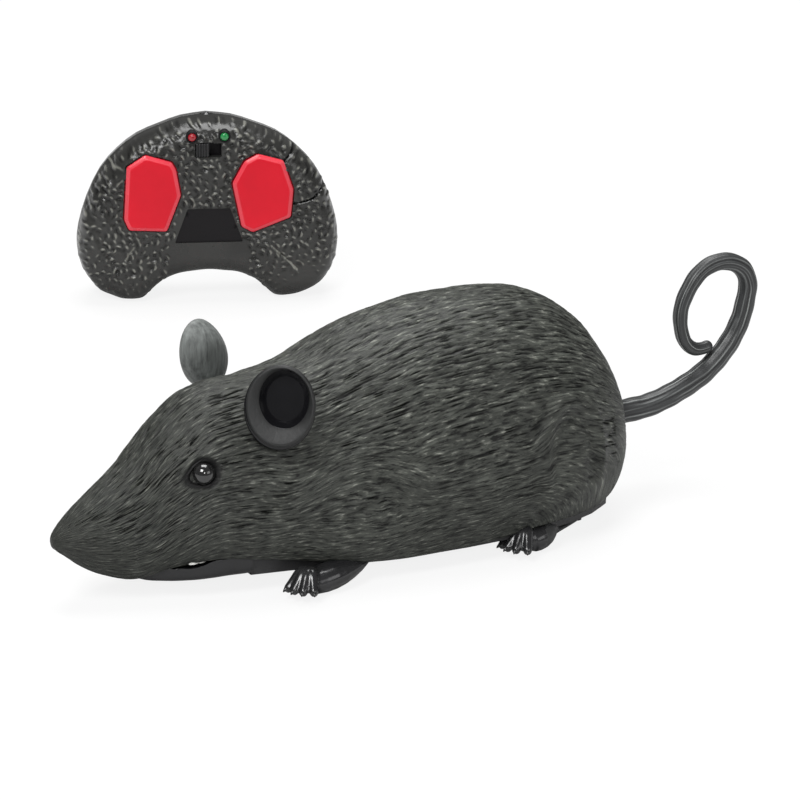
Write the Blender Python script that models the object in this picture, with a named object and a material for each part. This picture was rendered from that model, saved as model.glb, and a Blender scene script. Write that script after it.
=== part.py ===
"""A rat-shaped, remote-controlled chase toy for cats, and the crescent handset that drives it.

The rat faces -X with its left side towards -Y, and +Z is up. The handset stands behind it on its two
grips. The middle of the set's footprint is at the origin, on the surface that both stand on.
Lengths are in metres. Each piece is one closed solid.
"""

import math

import bmesh
import bpy
from mathutils import Matrix, Vector

MM = 0.001

# Fits that all pieces share
FIT_GAP = 0.3 * MM
RUNNING_GAP = 0.06 * MM
OVERRUN = 2.0 * MM
RIVET_OVERLAP = 0.4 * MM

# The rat as a whole
BODY_LENGTH = 211.0 * MM
BODY_WIDTH = 82.0 * MM
BODY_CROWN = 82.0 * MM
SHELL_WALL = 2.0 * MM

# Chassis plate, which closes the belly
CHASSIS_BOTTOM = 6.6 * MM
CHASSIS_PLATE = 2.0 * MM

# Rear axle and wheels
AXLE_FROM_RUMP = 48.0 * MM
AXLE_X = BODY_LENGTH - AXLE_FROM_RUMP
WHEEL_RADIUS = 15.0 * MM
WHEEL_WIDTH = 7.0 * MM
WHEEL_INNER_Y = 21.0 * MM
TYRE_THICKNESS = 2.4 * MM
TYRE_ROUND_SHARE = 0.35
HUB_BOSS_RADIUS = 3.0 * MM
HUB_DRAFT = 0.5 * MM
HUB_DISH_SHARE = 0.30
HUB_RIM_SHARE = 0.86
AXLE_RADIUS = 1.25 * MM
AXLE_SIDES = 20

# Gears
GEAR_MODULE = 0.45 * MM
PINION_TEETH = 10
WHEEL_TEETH = 30
GEAR_WIDTH = 2.5 * MM
GEAR_PLANE_STEP = 3.0 * MM
MESH_PLAY = 0.12 * MM
GEAR_PIN_RADIUS = 0.9 * MM

# Motor can
MOTOR_WIDTH = 20.0 * MM
MOTOR_HEIGHT = 15.0 * MM
MOTOR_LENGTH = 25.0 * MM

# Cells, the same size in the rat and in the handset
CELL_RADIUS = 5.25 * MM
CELL_LENGTH = 44.5 * MM

# Middle of the battery box, and the front caster before it
BATTERY_BEFORE_AXLE = 54.0 * MM
BATTERY_MIDDLE_X = AXLE_X - BATTERY_BEFORE_AXLE
CASTER_BEFORE_BATTERY = 31.0 * MM
CASTER_X = BATTERY_MIDDLE_X - CASTER_BEFORE_BATTERY
CASTER_WHEEL_RADIUS = 5.2 * MM
CASTER_WHEEL_WIDTH = 4.0 * MM
CASTER_TRAIL = 3.0 * MM

# Handset as a whole, and where it stands
HANDSET_WIDTH = 92.0 * MM
HANDSET_HEIGHT = 67.0 * MM
HANDSET_DEPTH = 24.0 * MM
HANDSET_WALL = 1.8 * MM
HANDSET_GAP_STEPS = 2
HANDSET_X = 183.0 * MM
HANDSET_Y = 236.0 * MM
HANDSET_TURN = math.radians(-24.5)


# How finely round forms are stepped
ARCH_STEPS = 14
SIDE_STEPS = 3
FLOOR_STEPS = 2
FINE_SIDES = 24
ROUND_SIDES = 16
SMALL_SIDES = 12
SHARP_EDGE = math.radians(35.0)


def clear_scene():
    for obj in list(bpy.data.objects):
        bpy.data.objects.remove(obj, do_unlink=True)


def material(name, colour, roughness, metallic=0.0):
    found = bpy.data.materials.get(name)
    if found:
        return found
    made = bpy.data.materials.new(name)
    made.use_nodes = True
    shader = made.node_tree.nodes["Principled BSDF"]
    shader.inputs["Base Color"].default_value = (*colour, 1.0)
    shader.inputs["Roughness"].default_value = roughness
    shader.inputs["Metallic"].default_value = metallic
    made.diffuse_color = (*colour, 1.0)
    return made


def add_piece(name, mesh, finish, parent, pivot=None):
    """An object for a mesh that was built in its parent's frame, with its origin at the pivot."""
    mesh.name = name
    obj = bpy.data.objects.new(name, mesh)
    bpy.context.scene.collection.objects.link(obj)
    obj.parent = parent
    if pivot is not None:
        mesh.transform(Matrix.Translation(-Vector(pivot)))
        obj.location = pivot
    if finish is not None:
        mesh.materials.append(finish)
    mesh.shade_smooth()
    mesh.set_sharp_from_angle(angle=SHARP_EDGE)
    return obj


def add_empty(name, parent=None, location=(0.0, 0.0, 0.0), turn=0.0):
    empty = bpy.data.objects.new(name, None)
    bpy.context.scene.collection.objects.link(empty)
    empty.parent = parent
    empty.location = location
    empty.rotation_euler = (0.0, 0.0, turn)
    return empty


def change_shape(target, operation, meshes):
    """Cut the target by, or join to it, each of these meshes, given in the frame of the target's parent."""
    for mesh in meshes:
        tool = add_piece(f"{target.name}_{operation.lower()}_tool", mesh, None, target.parent)
        tool.hide_render = True
        tool.display_type = "WIRE"
        step = target.modifiers.new(operation.lower(), "BOOLEAN")
        step.operation = operation
        step.solver = "EXACT"
        step.object = tool


def cut(target, *meshes):
    change_shape(target, "DIFFERENCE", meshes)


def join(target, *meshes):
    change_shape(target, "UNION", meshes)


def keep_inside(target, mesh):
    change_shape(target, "INTERSECT", [mesh])


def finish_mesh(bm):
    """A mesh whose faces look outwards."""
    bmesh.ops.recalc_face_normals(bm, faces=bm.faces[:])
    mesh = bpy.data.meshes.new("piece")
    bm.to_mesh(mesh)
    bm.free()
    return mesh


def loft(rings, flat=False):
    """A closed skin through rings of equal count; a first or last ring of one point makes a tip.

    Faces that aren't flat are split into triangles, since bent ones don't cut cleanly.
    """
    bm = bmesh.new()
    loops = [[bm.verts.new(point) for point in ring] for ring in rings]
    for low, high in zip(loops, loops[1:]):
        count = max(len(low), len(high))
        for i in range(count):
            j = (i + 1) % count
            if len(low) == 1:
                corners = (low[0], high[j], high[i])
            elif len(high) == 1:
                corners = (low[i], low[j], high[0])
            else:
                corners = (low[i], low[j], high[j], high[i])
            bm.faces.new(corners)
    for loop in (loops[0], loops[-1]):
        if len(loop) > 1:
            bm.faces.new(loop)
    if not flat:
        bmesh.ops.triangulate(bm, faces=bm.faces[:])
    return finish_mesh(bm)


def box(low, high):
    """A block between two corners."""
    bm = bmesh.new()
    low, high = Vector(low), Vector(high)
    bmesh.ops.create_cube(bm, size=1.0)
    bmesh.ops.scale(bm, vec=high - low, verts=bm.verts)
    bmesh.ops.translate(bm, vec=(low + high) / 2.0, verts=bm.verts)
    return finish_mesh(bm)


def soft_box(low, high, radius, steps=2):
    """A block with all its edges rounded."""
    bm = bmesh.new()
    bm.from_mesh(box(low, high))
    bmesh.ops.bevel(bm, geom=bm.edges[:], offset=radius, segments=steps, affect="EDGES", profile=0.5)
    return finish_mesh(bm)


def axis_frame(axis):
    """Two unit vectors square to an axis that lies along X, Y or Z."""
    axis = Vector(axis)
    side = Vector((0.0, 0.0, 1.0)) if abs(axis.z) < 0.5 else Vector((1.0, 0.0, 0.0))
    return side, axis.cross(side)


def circle(centre, axis, radius, sides):
    """A ring of points about an axis; a zero radius gives one point."""
    if radius == 0.0:
        return [Vector(centre)]
    u, v = axis_frame(axis)
    turns = [2.0 * math.pi * (i + 0.5) / sides for i in range(sides)]
    return [Vector(centre) + radius * (math.cos(a) * u + math.sin(a) * v) for a in turns]


def turned(base, axis, profile, sides=FINE_SIDES):
    """A solid of revolution; the profile is a list of (distance along the axis, radius)."""
    axis = Vector(axis).normalized()
    return loft([circle(Vector(base) + axis * along, axis, radius, sides) for along, radius in profile], flat=True)


def rod(base, axis, length, radius, sides=ROUND_SIDES):
    return turned(base, axis, [(0.0, radius), (length, radius)], sides)


def slab(outline, axis, start, end):
    """An outline of 2-D points pushed along X, Y or Z; the points are the other two coordinates in order."""
    def place(point, along):
        values = list(point)
        values.insert("XYZ".index(axis), along)
        return Vector(values)
    return loft([[place(point, start) for point in outline], [place(point, end) for point in outline]], flat=True)


def smooth_value(shares, values, share):
    """A Catmull-Rom value at a share, through values that stand at these shares."""
    last = len(shares) - 1
    i = max(0, min(last - 1, sum(1 for s in shares if s <= share) - 1))
    t = (share - shares[i]) / (shares[i + 1] - shares[i])
    gap = shares[i + 1] - shares[i]
    before, after = max(i - 1, 0), min(i + 2, last)
    slope_in = (values[i + 1] - values[before]) / (shares[i + 1] - shares[before]) * gap
    slope_out = (values[after] - values[i]) / (shares[after] - shares[i]) * gap
    return (
        (2 * t**3 - 3 * t**2 + 1) * values[i]
        + (t**3 - 2 * t**2 + t) * slope_in
        + (-2 * t**3 + 3 * t**2) * values[i + 1]
        + (t**3 - t**2) * slope_out
    )


# Body form: one row for each station from the nose tip to the rump.
# Along is a share of BODY_LENGTH, half width a share of BODY_WIDTH, crown and low are shares of BODY_CROWN,
# and round says how far the underside curves in, from 0, upright, to 1, a full curve.
BODY_SHARES = (
    # along, half_width, crown, low, round
    (0.000, 0.000, 0.262, 0.262, 1.0),
    (0.014, 0.062, 0.322, 0.221, 1.0),
    (0.040, 0.106, 0.382, 0.164, 1.0),
    (0.080, 0.146, 0.456, 0.112, 0.9),
    (0.130, 0.192, 0.555, 0.096, 0.6),
    (0.180, 0.242, 0.685, 0.138, 0.3),
    (0.235, 0.290, 0.788, 0.172, 0.0),
    (0.290, 0.328, 0.820, 0.158, 0.0),
    (0.350, 0.364, 0.824, 0.136, 0.0),
    (0.420, 0.408, 0.842, 0.108, 0.0),
    (0.500, 0.452, 0.918, 0.086, 0.0),
    (0.590, 0.486, 0.982, 0.086, 0.0),
    (0.680, 0.500, 1.000, 0.094, 0.0),
    (0.770, 0.496, 0.994, 0.114, 0.0),
    (0.850, 0.456, 0.946, 0.116, 0.0),
    (0.920, 0.372, 0.822, 0.114, 0.1),
    (0.970, 0.256, 0.640, 0.158, 0.4),
    (1.000, 0.000, 0.348, 0.348, 1.0),
)
BODY_WAIST_SHARE = 0.20
BODY_WAIST_ROUND_SHARE = 0.30
BODY_TUCK_SHARE = 0.10
BODY_ARCH_SHARE = 0.92
BODY_CURL_SHARE = 0.93
BODY_RINGS = 27


def turn_share(along):
    """A place along the body as a share of a half turn, so that both ends come out round."""
    return math.acos(1.0 - 2.0 * min(max(along, 0.0), 1.0)) / math.pi


def body_station(along):
    """Half width, crown, low and roundness of the body at a share of its length."""
    shares = [turn_share(row[0]) for row in BODY_SHARES]
    here = turn_share(along)
    half, crown, low, roundness = (
        smooth_value(shares, [row[i] for row in BODY_SHARES], here) for i in range(1, 5)
    )
    return half * BODY_WIDTH, crown * BODY_CROWN, low * BODY_CROWN, min(max(roundness, 0.0), 1.0)


def body_ring(along, inset=0.0, floor=None, arch_steps=ARCH_STEPS, side_steps=SIDE_STEPS,
              floor_steps=FLOOR_STEPS):
    """One closed cross-section, set in by a wall all round, or with its underside at a floor's height."""
    half, crown, low, roundness = body_station(along)
    if floor is None:
        floor = low + inset
    x = along * BODY_LENGTH
    waist = low + (crown - low) * (BODY_WAIST_SHARE + BODY_WAIST_ROUND_SHARE * roundness)
    width = half - inset
    top = crown - inset
    points = []
    for i in range(arch_steps + 1):
        turn = math.pi * i / arch_steps
        across = -math.cos(turn)
        rise = math.sin(turn) ** BODY_ARCH_SHARE
        points.append(Vector((x, width * across, waist + (top - waist) * rise)))

    def side(sign, step):
        height = waist - (waist - floor) * (step + 1) / side_steps
        depth = min((waist - height) / max(waist - low, SHELL_WALL), 1.0)
        upright = 1.0 - BODY_TUCK_SHARE * depth**2
        curved = math.sqrt(1.0 - (BODY_CURL_SHARE * depth) ** 2)
        across = (1.0 - roundness) * upright + roundness * curved
        return Vector((x, sign * width * across, height))

    far = [side(1.0, i) for i in range(side_steps)]
    near = [side(-1.0, i) for i in range(side_steps)]
    belly = [far[-1].lerp(near[-1], (i + 1) / floor_steps) for i in range(floor_steps - 1)]
    return points + far + belly + near[::-1]


def body_places(start, end, count):
    """Places along the body, closer together towards its ends."""
    first, last = turn_share(start), turn_share(end)
    turns = [first + (last - first) * i / (count - 1) for i in range(count)]
    return [(1.0 - math.cos(math.pi * turn)) / 2.0 for turn in turns]


def body_form():
    """The body's whole outer form."""
    loops = [body_ring(place) for place in body_places(0.0, 1.0, BODY_RINGS)]
    loops[0] = [loops[0][0]]
    loops[-1] = [loops[-1][0]]
    return loft(loops)


def body_height(x, y, inset=0.0):
    """Height of the body's skin over a point, or of the skin set in by a wall."""
    half, crown, low, roundness = body_station(x / BODY_LENGTH)
    waist = low + (crown - low) * (BODY_WAIST_SHARE + BODY_WAIST_ROUND_SHARE * roundness)
    across = min(abs(y) / (half - inset), 1.0)
    return waist + (crown - inset - waist) * math.sqrt(1.0 - across**2) ** BODY_ARCH_SHARE


def body_side(x, z):
    """How far the body's skin stands out from its middle plane at a height above the waist."""
    half, crown, low, roundness = body_station(x / BODY_LENGTH)
    waist = low + (crown - low) * (BODY_WAIST_SHARE + BODY_WAIST_ROUND_SHARE * roundness)
    rise = min(max((z - waist) / (crown - waist), 0.0), 1.0) ** (1.0 / BODY_ARCH_SHARE)
    return half * math.sqrt(1.0 - rise**2)


# Finishes, as linear colours
FUR = material("dark_fur_plastic", (0.060, 0.062, 0.058), 0.55)
PAW_BLACK = material("gloss_black_plastic", (0.018, 0.018, 0.019), 0.28)
JAW_BLACK = material("satin_black_plastic", (0.030, 0.030, 0.030), 0.42)
TOOTH_WHITE = material("white_plastic", (0.80, 0.80, 0.78), 0.35)
TAIL_GREY = material("dark_soft_vinyl", (0.036, 0.037, 0.039), 0.50)
CHASSIS_BLACK = material("black_plastic", (0.022, 0.022, 0.023), 0.50)
GEAR_WHITE = material("natural_nylon", (0.72, 0.72, 0.68), 0.45)
STEEL = material("bright_steel", (0.60, 0.61, 0.62), 0.28, 1.0)
SPRING_METAL = material("nickel_plate", (0.66, 0.66, 0.64), 0.30, 1.0)
RUBBER = material("black_rubber", (0.020, 0.020, 0.020), 0.80)
BOARD_GREEN = material("circuit_board", (0.030, 0.150, 0.070), 0.45)
CELL_BLUE = material("cell_sleeve", (0.040, 0.120, 0.300), 0.35)
BUTTON_RED = material("red_plastic", (0.560, 0.018, 0.034), 0.38)
HANDSET_GREY = material("handset_plastic", (0.050, 0.050, 0.048), 0.45)
LAMP_RED = material("red_lamp", (0.420, 0.030, 0.040), 0.15)
LAMP_GREEN = material("green_lamp", (0.060, 0.300, 0.120), 0.15)
PAD_GREY = material("grey_silicone", (0.300, 0.300, 0.300), 0.70)


# Head: where the cavity starts, the sockets and what plugs into them
CAVITY_START_SHARE = 0.11
BELLY_END_SHARE = 0.93
CAVITY_ARCH_STEPS = 10
CAVITY_SIDE_STEPS = 2
CAVITY_RINGS = 14
CAVITY_END_RINGS = 4
EYE_ALONG_SHARE = 0.2204
EYE_UP_SHARE = 0.5366
EYE_X = EYE_ALONG_SHARE * BODY_LENGTH
EYE_Z = EYE_UP_SHARE * BODY_CROWN
EYE_RADIUS = 3.7 * MM
EYE_SINK = 1.5 * MM
EAR_ALONG_SHARE = 0.3412
EAR_OUT_SHARE = 0.3110
EAR_UP_SHARE = 0.7988
EAR_X = EAR_ALONG_SHARE * BODY_LENGTH
EAR_Y = EAR_OUT_SHARE * BODY_WIDTH
EAR_Z = EAR_UP_SHARE * BODY_CROWN
EAR_HEIGHT = 27.0 * MM
EAR_WIDTH = 23.0 * MM
EAR_DEPTH = 8.0 * MM
EAR_STEM_RADIUS = 4.2 * MM
EAR_STEM_LENGTH = 23.0 * MM
EAR_STEM_BACK_SHARE = 0.18
EAR_STEM_DOWN_SHARE = 0.20
EAR_FACING = Vector((-0.55, -0.75, 0.30)).normalized()
EAR_STEM_LEAN = Vector((0.10, 0.52, -0.85)).normalized()

# Tail: a grooved moulding that plugs into the rump
TAIL_Z = 28.0 * MM
TAIL_ROOT_RADIUS = 4.1 * MM
TAIL_TIP_RADIUS = 2.1 * MM
TAIL_REACH = 52.8 * MM
TAIL_RISE = 47.0 * MM
TAIL_PLUG_RADIUS = 3.0 * MM
TAIL_FLANGE_RADIUS = 4.6 * MM
TAIL_FLANGE_WIDTH = 1.6 * MM
TAIL_FLANGE_NOSE_SHARE = 0.7
TAIL_PLUG_LENGTH = SHELL_WALL + FIT_GAP + TAIL_FLANGE_WIDTH

# Screws that hold the rat's shell to its chassis
SCREW_RADIUS = 1.0 * MM
SCREW_LENGTH = 10.0 * MM
SCREW_HEAD_RADIUS = 2.1 * MM
SCREW_HEAD_HEIGHT = 1.3 * MM
SCREW_HEAD_TOP_SHARE = 0.80
SCREW_HEAD_EDGE_SHARE = 0.35
SCREW_TAPER_SHARE = 0.85
SCREW_TIP_SHARE = 0.30
SCREW_SIDES = 10
POST_RADIUS = 2.7 * MM
FRONT_POST_BEHIND_JAW = 3.0 * MM
REAR_POST_FROM_RUMP = 21.0 * MM
REAR_POST_X = BODY_LENGTH - REAR_POST_FROM_RUMP
REAR_POST_Y = 19.0 * MM


def side_name(sign):
    """The rat faces -X, so its left side is towards -Y."""
    return "left" if sign < 0.0 else "right"


def mirrored(vector, sign):
    """A place given for the left side, on either side."""
    return Vector((vector[0], -sign * vector[1], vector[2]))


def ball(centre, radius, sides=SMALL_SIDES, rings=7):
    turns = [math.pi * i / (rings - 1) for i in range(rings)]
    profile = [(-radius * math.cos(a), radius * math.sin(a)) for a in turns]
    profile[0] = (-radius, 0.0)
    profile[-1] = (radius, 0.0)
    return turned(centre, (0.0, 0.0, 1.0), profile, sides)


def post_places():
    """The shell's screw posts and where each one ends: one over the jaw's tongue, two at the rear."""
    plate = CHASSIS_BOTTOM + CHASSIS_PLATE + FIT_GAP
    tongue = plate + CHASSIS_PLATE + FIT_GAP
    front = (JAW_END + FRONT_POST_BEHIND_JAW, 0.0, tongue)
    return [front, (REAR_POST_X, -REAR_POST_Y, plate), (REAR_POST_X, REAR_POST_Y, plate)]


def eye_centre(sign):
    out = body_side(EYE_X, EYE_Z) - EYE_SINK
    return Vector((EYE_X, sign * out, EYE_Z))


def cavity(inset, floor=0.0):
    """The room inside the body shell, open below as far as the rump, or what fits in it with a larger inset."""
    steps = {"arch_steps": CAVITY_ARCH_STEPS, "side_steps": CAVITY_SIDE_STEPS}
    wall_share = SHELL_WALL / BODY_LENGTH
    open_places = body_places(CAVITY_START_SHARE, BELLY_END_SHARE, CAVITY_RINGS)
    shut_places = body_places(BELLY_END_SHARE + wall_share, 1.0 - wall_share, CAVITY_END_RINGS)
    loops = [body_ring(place, inset, floor, **steps) for place in open_places]
    loops += [body_ring(place, inset, **steps) for place in shut_places]
    return loft(loops)


def make_body_shell(rat):
    shell = add_piece("body_shell", body_form(), FUR, rat)
    cut(shell, cavity(SHELL_WALL))
    for x, y, base in post_places():
        outer = abs(y) + POST_RADIUS
        top = (body_height(x, outer) + body_height(x, outer, SHELL_WALL)) / 2.0
        join(shell, rod((x, y, base), (0, 0, 1), top - base, POST_RADIUS, SMALL_SIDES))
        hole_length = SCREW_LENGTH + OVERRUN
        cut(shell, rod((x, y, base - OVERRUN), (0, 0, 1), hole_length, SCREW_RADIUS + FIT_GAP / 2.0, SMALL_SIDES))
    for sign in (-1.0, 1.0):
        cut(shell, ball(eye_centre(sign), EYE_RADIUS + FIT_GAP))
        base, lean = ear_stem(sign)
        cut(shell, oval_rod(base, lean, EAR_STEM_LENGTH + OVERRUN, EAR_STEM_RADIUS + FIT_GAP, SMALL_SIDES))
    start = BODY_LENGTH - TAIL_PLUG_LENGTH - OVERRUN
    cut(shell, rod((start, 0, TAIL_Z), (1, 0, 0), BODY_LENGTH + OVERRUN - start, TAIL_PLUG_RADIUS + FIT_GAP))
    return shell


def make_eyes(rat):
    for sign in (-1.0, 1.0):
        add_piece(f"eye_{side_name(sign)}", ball(eye_centre(sign), EYE_RADIUS), PAW_BLACK, rat)


def ear_centre():
    return Vector((EAR_X, -EAR_Y, EAR_Z))


def ear_stem(sign):
    """Where the ear's stem leaves the back of its bowl, and the way it leans into the head."""
    back = ear_centre() - EAR_FACING * (EAR_DEPTH * EAR_STEM_BACK_SHARE)
    base = back + EAR_STEM_LEAN * (EAR_HEIGHT * EAR_STEM_DOWN_SHARE)
    return mirrored(base, sign), mirrored(EAR_STEM_LEAN, sign)


def any_frame(axis):
    """Two unit vectors square to any axis, the second as near upright as it can be."""
    up = Vector((0.0, 0.0, 1.0))
    side = up.cross(axis).normalized()
    return side, axis.cross(side).normalized()


def oval_ring(centre, axis, half_width, half_height, sides):
    if half_width == 0.0:
        return [centre.copy()]
    side, up = any_frame(axis)
    turns = [2.0 * math.pi * i / sides for i in range(sides)]
    return [centre + side * (half_width * math.cos(a)) + up * (half_height * math.sin(a)) for a in turns]


def oval_rod(base, axis, length, radius, sides):
    axis = Vector(axis).normalized()
    rings = [oval_ring(Vector(base) + axis * along, axis, radius, radius, sides) for along in (0.0, length)]
    return loft(rings, flat=True)


# The ear's bowl from the middle of its back, round the rim, to the middle of its inside:
# how far forward and how wide, as shares of its depth and of half its size
EAR_BACK_SHARES = ((0.00, 0.00), (0.06, 0.45), (0.34, 0.80), (0.74, 0.98), (1.00, 1.00))
EAR_BOWL_SHARES = ((1.06, 0.93), (0.86, 0.82), (0.52, 0.62), (0.30, 0.30), (0.26, 0.00))
EAR_SIDES = 18


def make_ears(rat):
    for sign in (-1.0, 1.0):
        facing = mirrored(EAR_FACING, sign)
        centre = mirrored(ear_centre(), sign)
        rings = []
        for along, wide in EAR_BACK_SHARES + EAR_BOWL_SHARES:
            place = centre + facing * (EAR_DEPTH * (along - 0.5))
            rings.append(oval_ring(place, facing, wide * EAR_WIDTH / 2.0, wide * EAR_HEIGHT / 2.0, EAR_SIDES))
        ear = add_piece(f"ear_{side_name(sign)}", loft(rings), FUR, rat)
        base, lean = ear_stem(sign)
        join(ear, oval_rod(base, lean, EAR_STEM_LENGTH, EAR_STEM_RADIUS, SMALL_SIDES))


# Lower jaw: a smooth tray under the snout, and the teeth that show in the gap of the mouth
JAW_START_SHARE = 0.1256
JAW_END_SHARE = 0.2915
JAW_START = JAW_START_SHARE * BODY_LENGTH
JAW_END = JAW_END_SHARE * BODY_LENGTH
JAW_BOTTOM = 4.6 * MM
JAW_DEPTH = 8.6 * MM
JAW_SIDE_GAP = 1.0 * MM
JAW_TONGUE_WIDTH = 16.0 * MM
JAW_TONGUE_LENGTH = 5.4 * MM
# along, half width, bottom and top; half width is a share of the room in the shell, heights of JAW_DEPTH
JAW_SHARES = (
    (0.00, 0.42, 0.20, 0.42),
    (0.10, 0.72, 0.10, 0.50),
    (0.28, 0.92, 0.03, 0.66),
    (0.50, 1.00, 0.00, 0.84),
    (0.75, 1.00, 0.02, 0.96),
    (1.00, 1.00, 0.06, 1.00),
)
JAW_MIDDLE_SHARE = 0.55
JAW_CURVE_SHARE = 0.80
JAW_RINGS = 9
JAW_UNDER_STEPS = 10
TOOTH_PLACE_SHARE = 0.42
TOOTH_LENGTH = 5.0 * MM
TOOTH_WIDTH = 1.6 * MM
TOOTH_HEIGHT = 3.0 * MM


def jaw_section(share):
    """Half width, bottom and top of the jaw at a share of its length, and the place along the rat."""
    x = JAW_START + (JAW_END - JAW_START) * share
    shares = [row[0] for row in JAW_SHARES]
    wide, low, high = (smooth_value(shares, [row[i] for row in JAW_SHARES], share) for i in range(1, 4))
    room = body_station(x / BODY_LENGTH)[0] - SHELL_WALL - JAW_SIDE_GAP
    return x, wide * room, JAW_BOTTOM + low * JAW_DEPTH, JAW_BOTTOM + high * JAW_DEPTH


def make_jaw(rat):
    rings = []
    turns = [math.pi * j / JAW_UNDER_STEPS for j in range(JAW_UNDER_STEPS + 1)]
    for i in range(JAW_RINGS):
        x, half, low, high = jaw_section(i / (JAW_RINGS - 1))
        middle = low + (high - low) * JAW_MIDDLE_SHARE
        ring = [Vector((x, half * math.cos(a), middle + (low - middle) * math.sin(a) ** JAW_CURVE_SHARE))
                for a in turns]
        ring += [Vector((x, -half, high)), Vector((x, 0.0, high)), Vector((x, half, high))]
        rings.append(ring)
    jaw = add_piece("lower_jaw", loft(rings), JAW_BLACK, rat)
    keep_inside(jaw, cavity(SHELL_WALL + FIT_GAP))
    low = CHASSIS_BOTTOM + CHASSIS_PLATE + FIT_GAP
    tongue = box(
        (JAW_END - OVERRUN, -JAW_TONGUE_WIDTH / 2.0, low),
        (JAW_END + JAW_TONGUE_LENGTH, JAW_TONGUE_WIDTH / 2.0, low + CHASSIS_PLATE),
    )
    join(jaw, tongue)
    cut(jaw, rod((JAW_END + FRONT_POST_BEHIND_JAW, 0.0, low - OVERRUN), (0, 0, 1), CHASSIS_PLATE + 2.0 * OVERRUN,
                 SCREW_RADIUS + FIT_GAP, SMALL_SIDES))


def make_teeth(rat):
    """One white strip with a tooth at each side, lying on the jaw behind the lips."""
    x, half, _, _ = jaw_section(TOOTH_PLACE_SHARE)
    base = jaw_section(TOOTH_PLACE_SHARE + TOOTH_LENGTH / (JAW_END - JAW_START))[3] + FIT_GAP
    bar = box((x, -half, base), (x + TOOTH_WIDTH, half, base + TOOTH_WIDTH / 2.0))
    teeth = add_piece("teeth", bar, TOOTH_WHITE, rat)
    for sign in (-1.0, 1.0):
        inner, outer = half - TOOTH_WIDTH, half + TOOTH_WIDTH / 3.0
        low, high_side = min(sign * inner, sign * outer), max(sign * inner, sign * outer)
        block = box((x - TOOTH_LENGTH / 2.0, low, base), (x + TOOTH_LENGTH / 2.0, high_side, base + TOOTH_HEIGHT))
        join(teeth, block)
    keep_inside(teeth, cavity(SHELL_WALL + FIT_GAP))


# Paws: palm, four clawed toes, an arm or heel, and a peg that plugs into the chassis plate.
# The front ones keep their place under the body's edge and beside the caster, the hind ones beside the wheels.
PAW_TOE_RADIUS = 1.7 * MM
PAW_PALM_RADIUS = 4.0 * MM
PAW_FLOOR_GAP = 0.5 * MM
PAW_TOP = CHASSIS_BOTTOM - FIT_GAP
PAW_PEG_RADIUS = 1.5 * MM
PALM_Z = 3.3 * MM
LIMB_END_Z = 4.0 * MM
FRONT_PALM_BEFORE_CASTER = 0.5 * MM
FRONT_PALM_IN = 7.5 * MM
FRONT_ARM_REACH = 23.5 * MM
FRONT_ARM_IN = 10.5 * MM
FRONT_PEG_BACK = 9.8 * MM
FRONT_PEG_IN = 16.4 * MM
HIND_PALM_BEFORE_AXLE = 1.0 * MM
HIND_PALM_BESIDE_WHEEL = 8.0 * MM
HIND_HEEL_REACH = 18.5 * MM
HIND_HEEL_IN = 6.0 * MM
HIND_PEG_BACK = 21.0 * MM
HIND_PEG_IN = 9.6 * MM
BODY_HALF = BODY_WIDTH / 2.0
FRONT_PALM = Vector((CASTER_X - FRONT_PALM_BEFORE_CASTER, FRONT_PALM_IN - BODY_HALF, PALM_Z))
FRONT_TOE_LENGTH = 9.5 * MM
FRONT_TOE_TURNS = (196.0, 218.0, 240.0, 262.0)
FRONT_ARM_END = Vector((FRONT_PALM.x + FRONT_ARM_REACH, FRONT_ARM_IN - BODY_HALF, LIMB_END_Z))
FRONT_PEG = (FRONT_PALM.x + FRONT_PEG_BACK, BODY_HALF - FRONT_PEG_IN)
HIND_PALM_Y = WHEEL_INNER_Y + WHEEL_WIDTH + HIND_PALM_BESIDE_WHEEL
HIND_PALM = Vector((AXLE_X - HIND_PALM_BEFORE_AXLE, -HIND_PALM_Y, PALM_Z))
HIND_TOE_LENGTH = 10.5 * MM
HIND_TOE_TURNS = (172.0, 192.0, 212.0, 238.0)
HIND_HEEL_END = Vector((HIND_PALM.x + HIND_HEEL_REACH, HIND_HEEL_IN - HIND_PALM_Y, LIMB_END_Z))
HIND_PEG = (HIND_PALM.x + HIND_PEG_BACK, HIND_PALM_Y - HIND_PEG_IN)
# A toe from its knuckle to the tip of its claw: along, up and radius, in shares of its length and radius
TOE_SHARES = ((0.00, 0.30, 0.90), (0.25, 0.42, 1.05), (0.68, 0.06, 0.85), (0.86, -0.10, 0.45))
TOE_CLAW_SHARE = 1.08
TOE_ROOT_SHARE = 0.45
TOE_SIDES = 6
# An arm or heel from the palm to its end: along and radius, in shares
LIMB_SHARES = ((0.0, 0.8), (0.3, 1.0), (0.9, 0.9))
LIMB_END_SHARE = 0.60
LIMB_START_SHARE = 0.82
LIMB_SIDES = 8
PALM_SIDES = 10
PALM_RINGS = 6
PAW_REACH = 32.0 * MM


def paw_toe(palm, turn, length):
    """A bent toe that starts in the palm and ends in a claw, turned about the upright axis."""
    way = Vector((math.cos(turn), math.sin(turn), 0.0))
    side = Vector((-way.y, way.x, 0.0))
    up = Vector((0.0, 0.0, 1.0))
    knuckle = palm + way * (PAW_PALM_RADIUS * TOE_ROOT_SHARE)
    rings = [[knuckle - way * PAW_TOE_RADIUS]]
    for along, rise, fat in TOE_SHARES:
        centre = knuckle + way * (along * length) + up * (rise * PAW_TOE_RADIUS)
        radius = fat * PAW_TOE_RADIUS
        centre.z = max(centre.z, PAW_FLOOR_GAP + radius)
        turns = [2.0 * math.pi * i / TOE_SIDES for i in range(TOE_SIDES)]
        rings.append([centre + side * (radius * math.cos(a)) + up * (radius * math.sin(a)) for a in turns])
    tip = knuckle + way * (TOE_CLAW_SHARE * length)
    tip.z = PAW_FLOOR_GAP
    rings.append([tip])
    return loft(rings)


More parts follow.
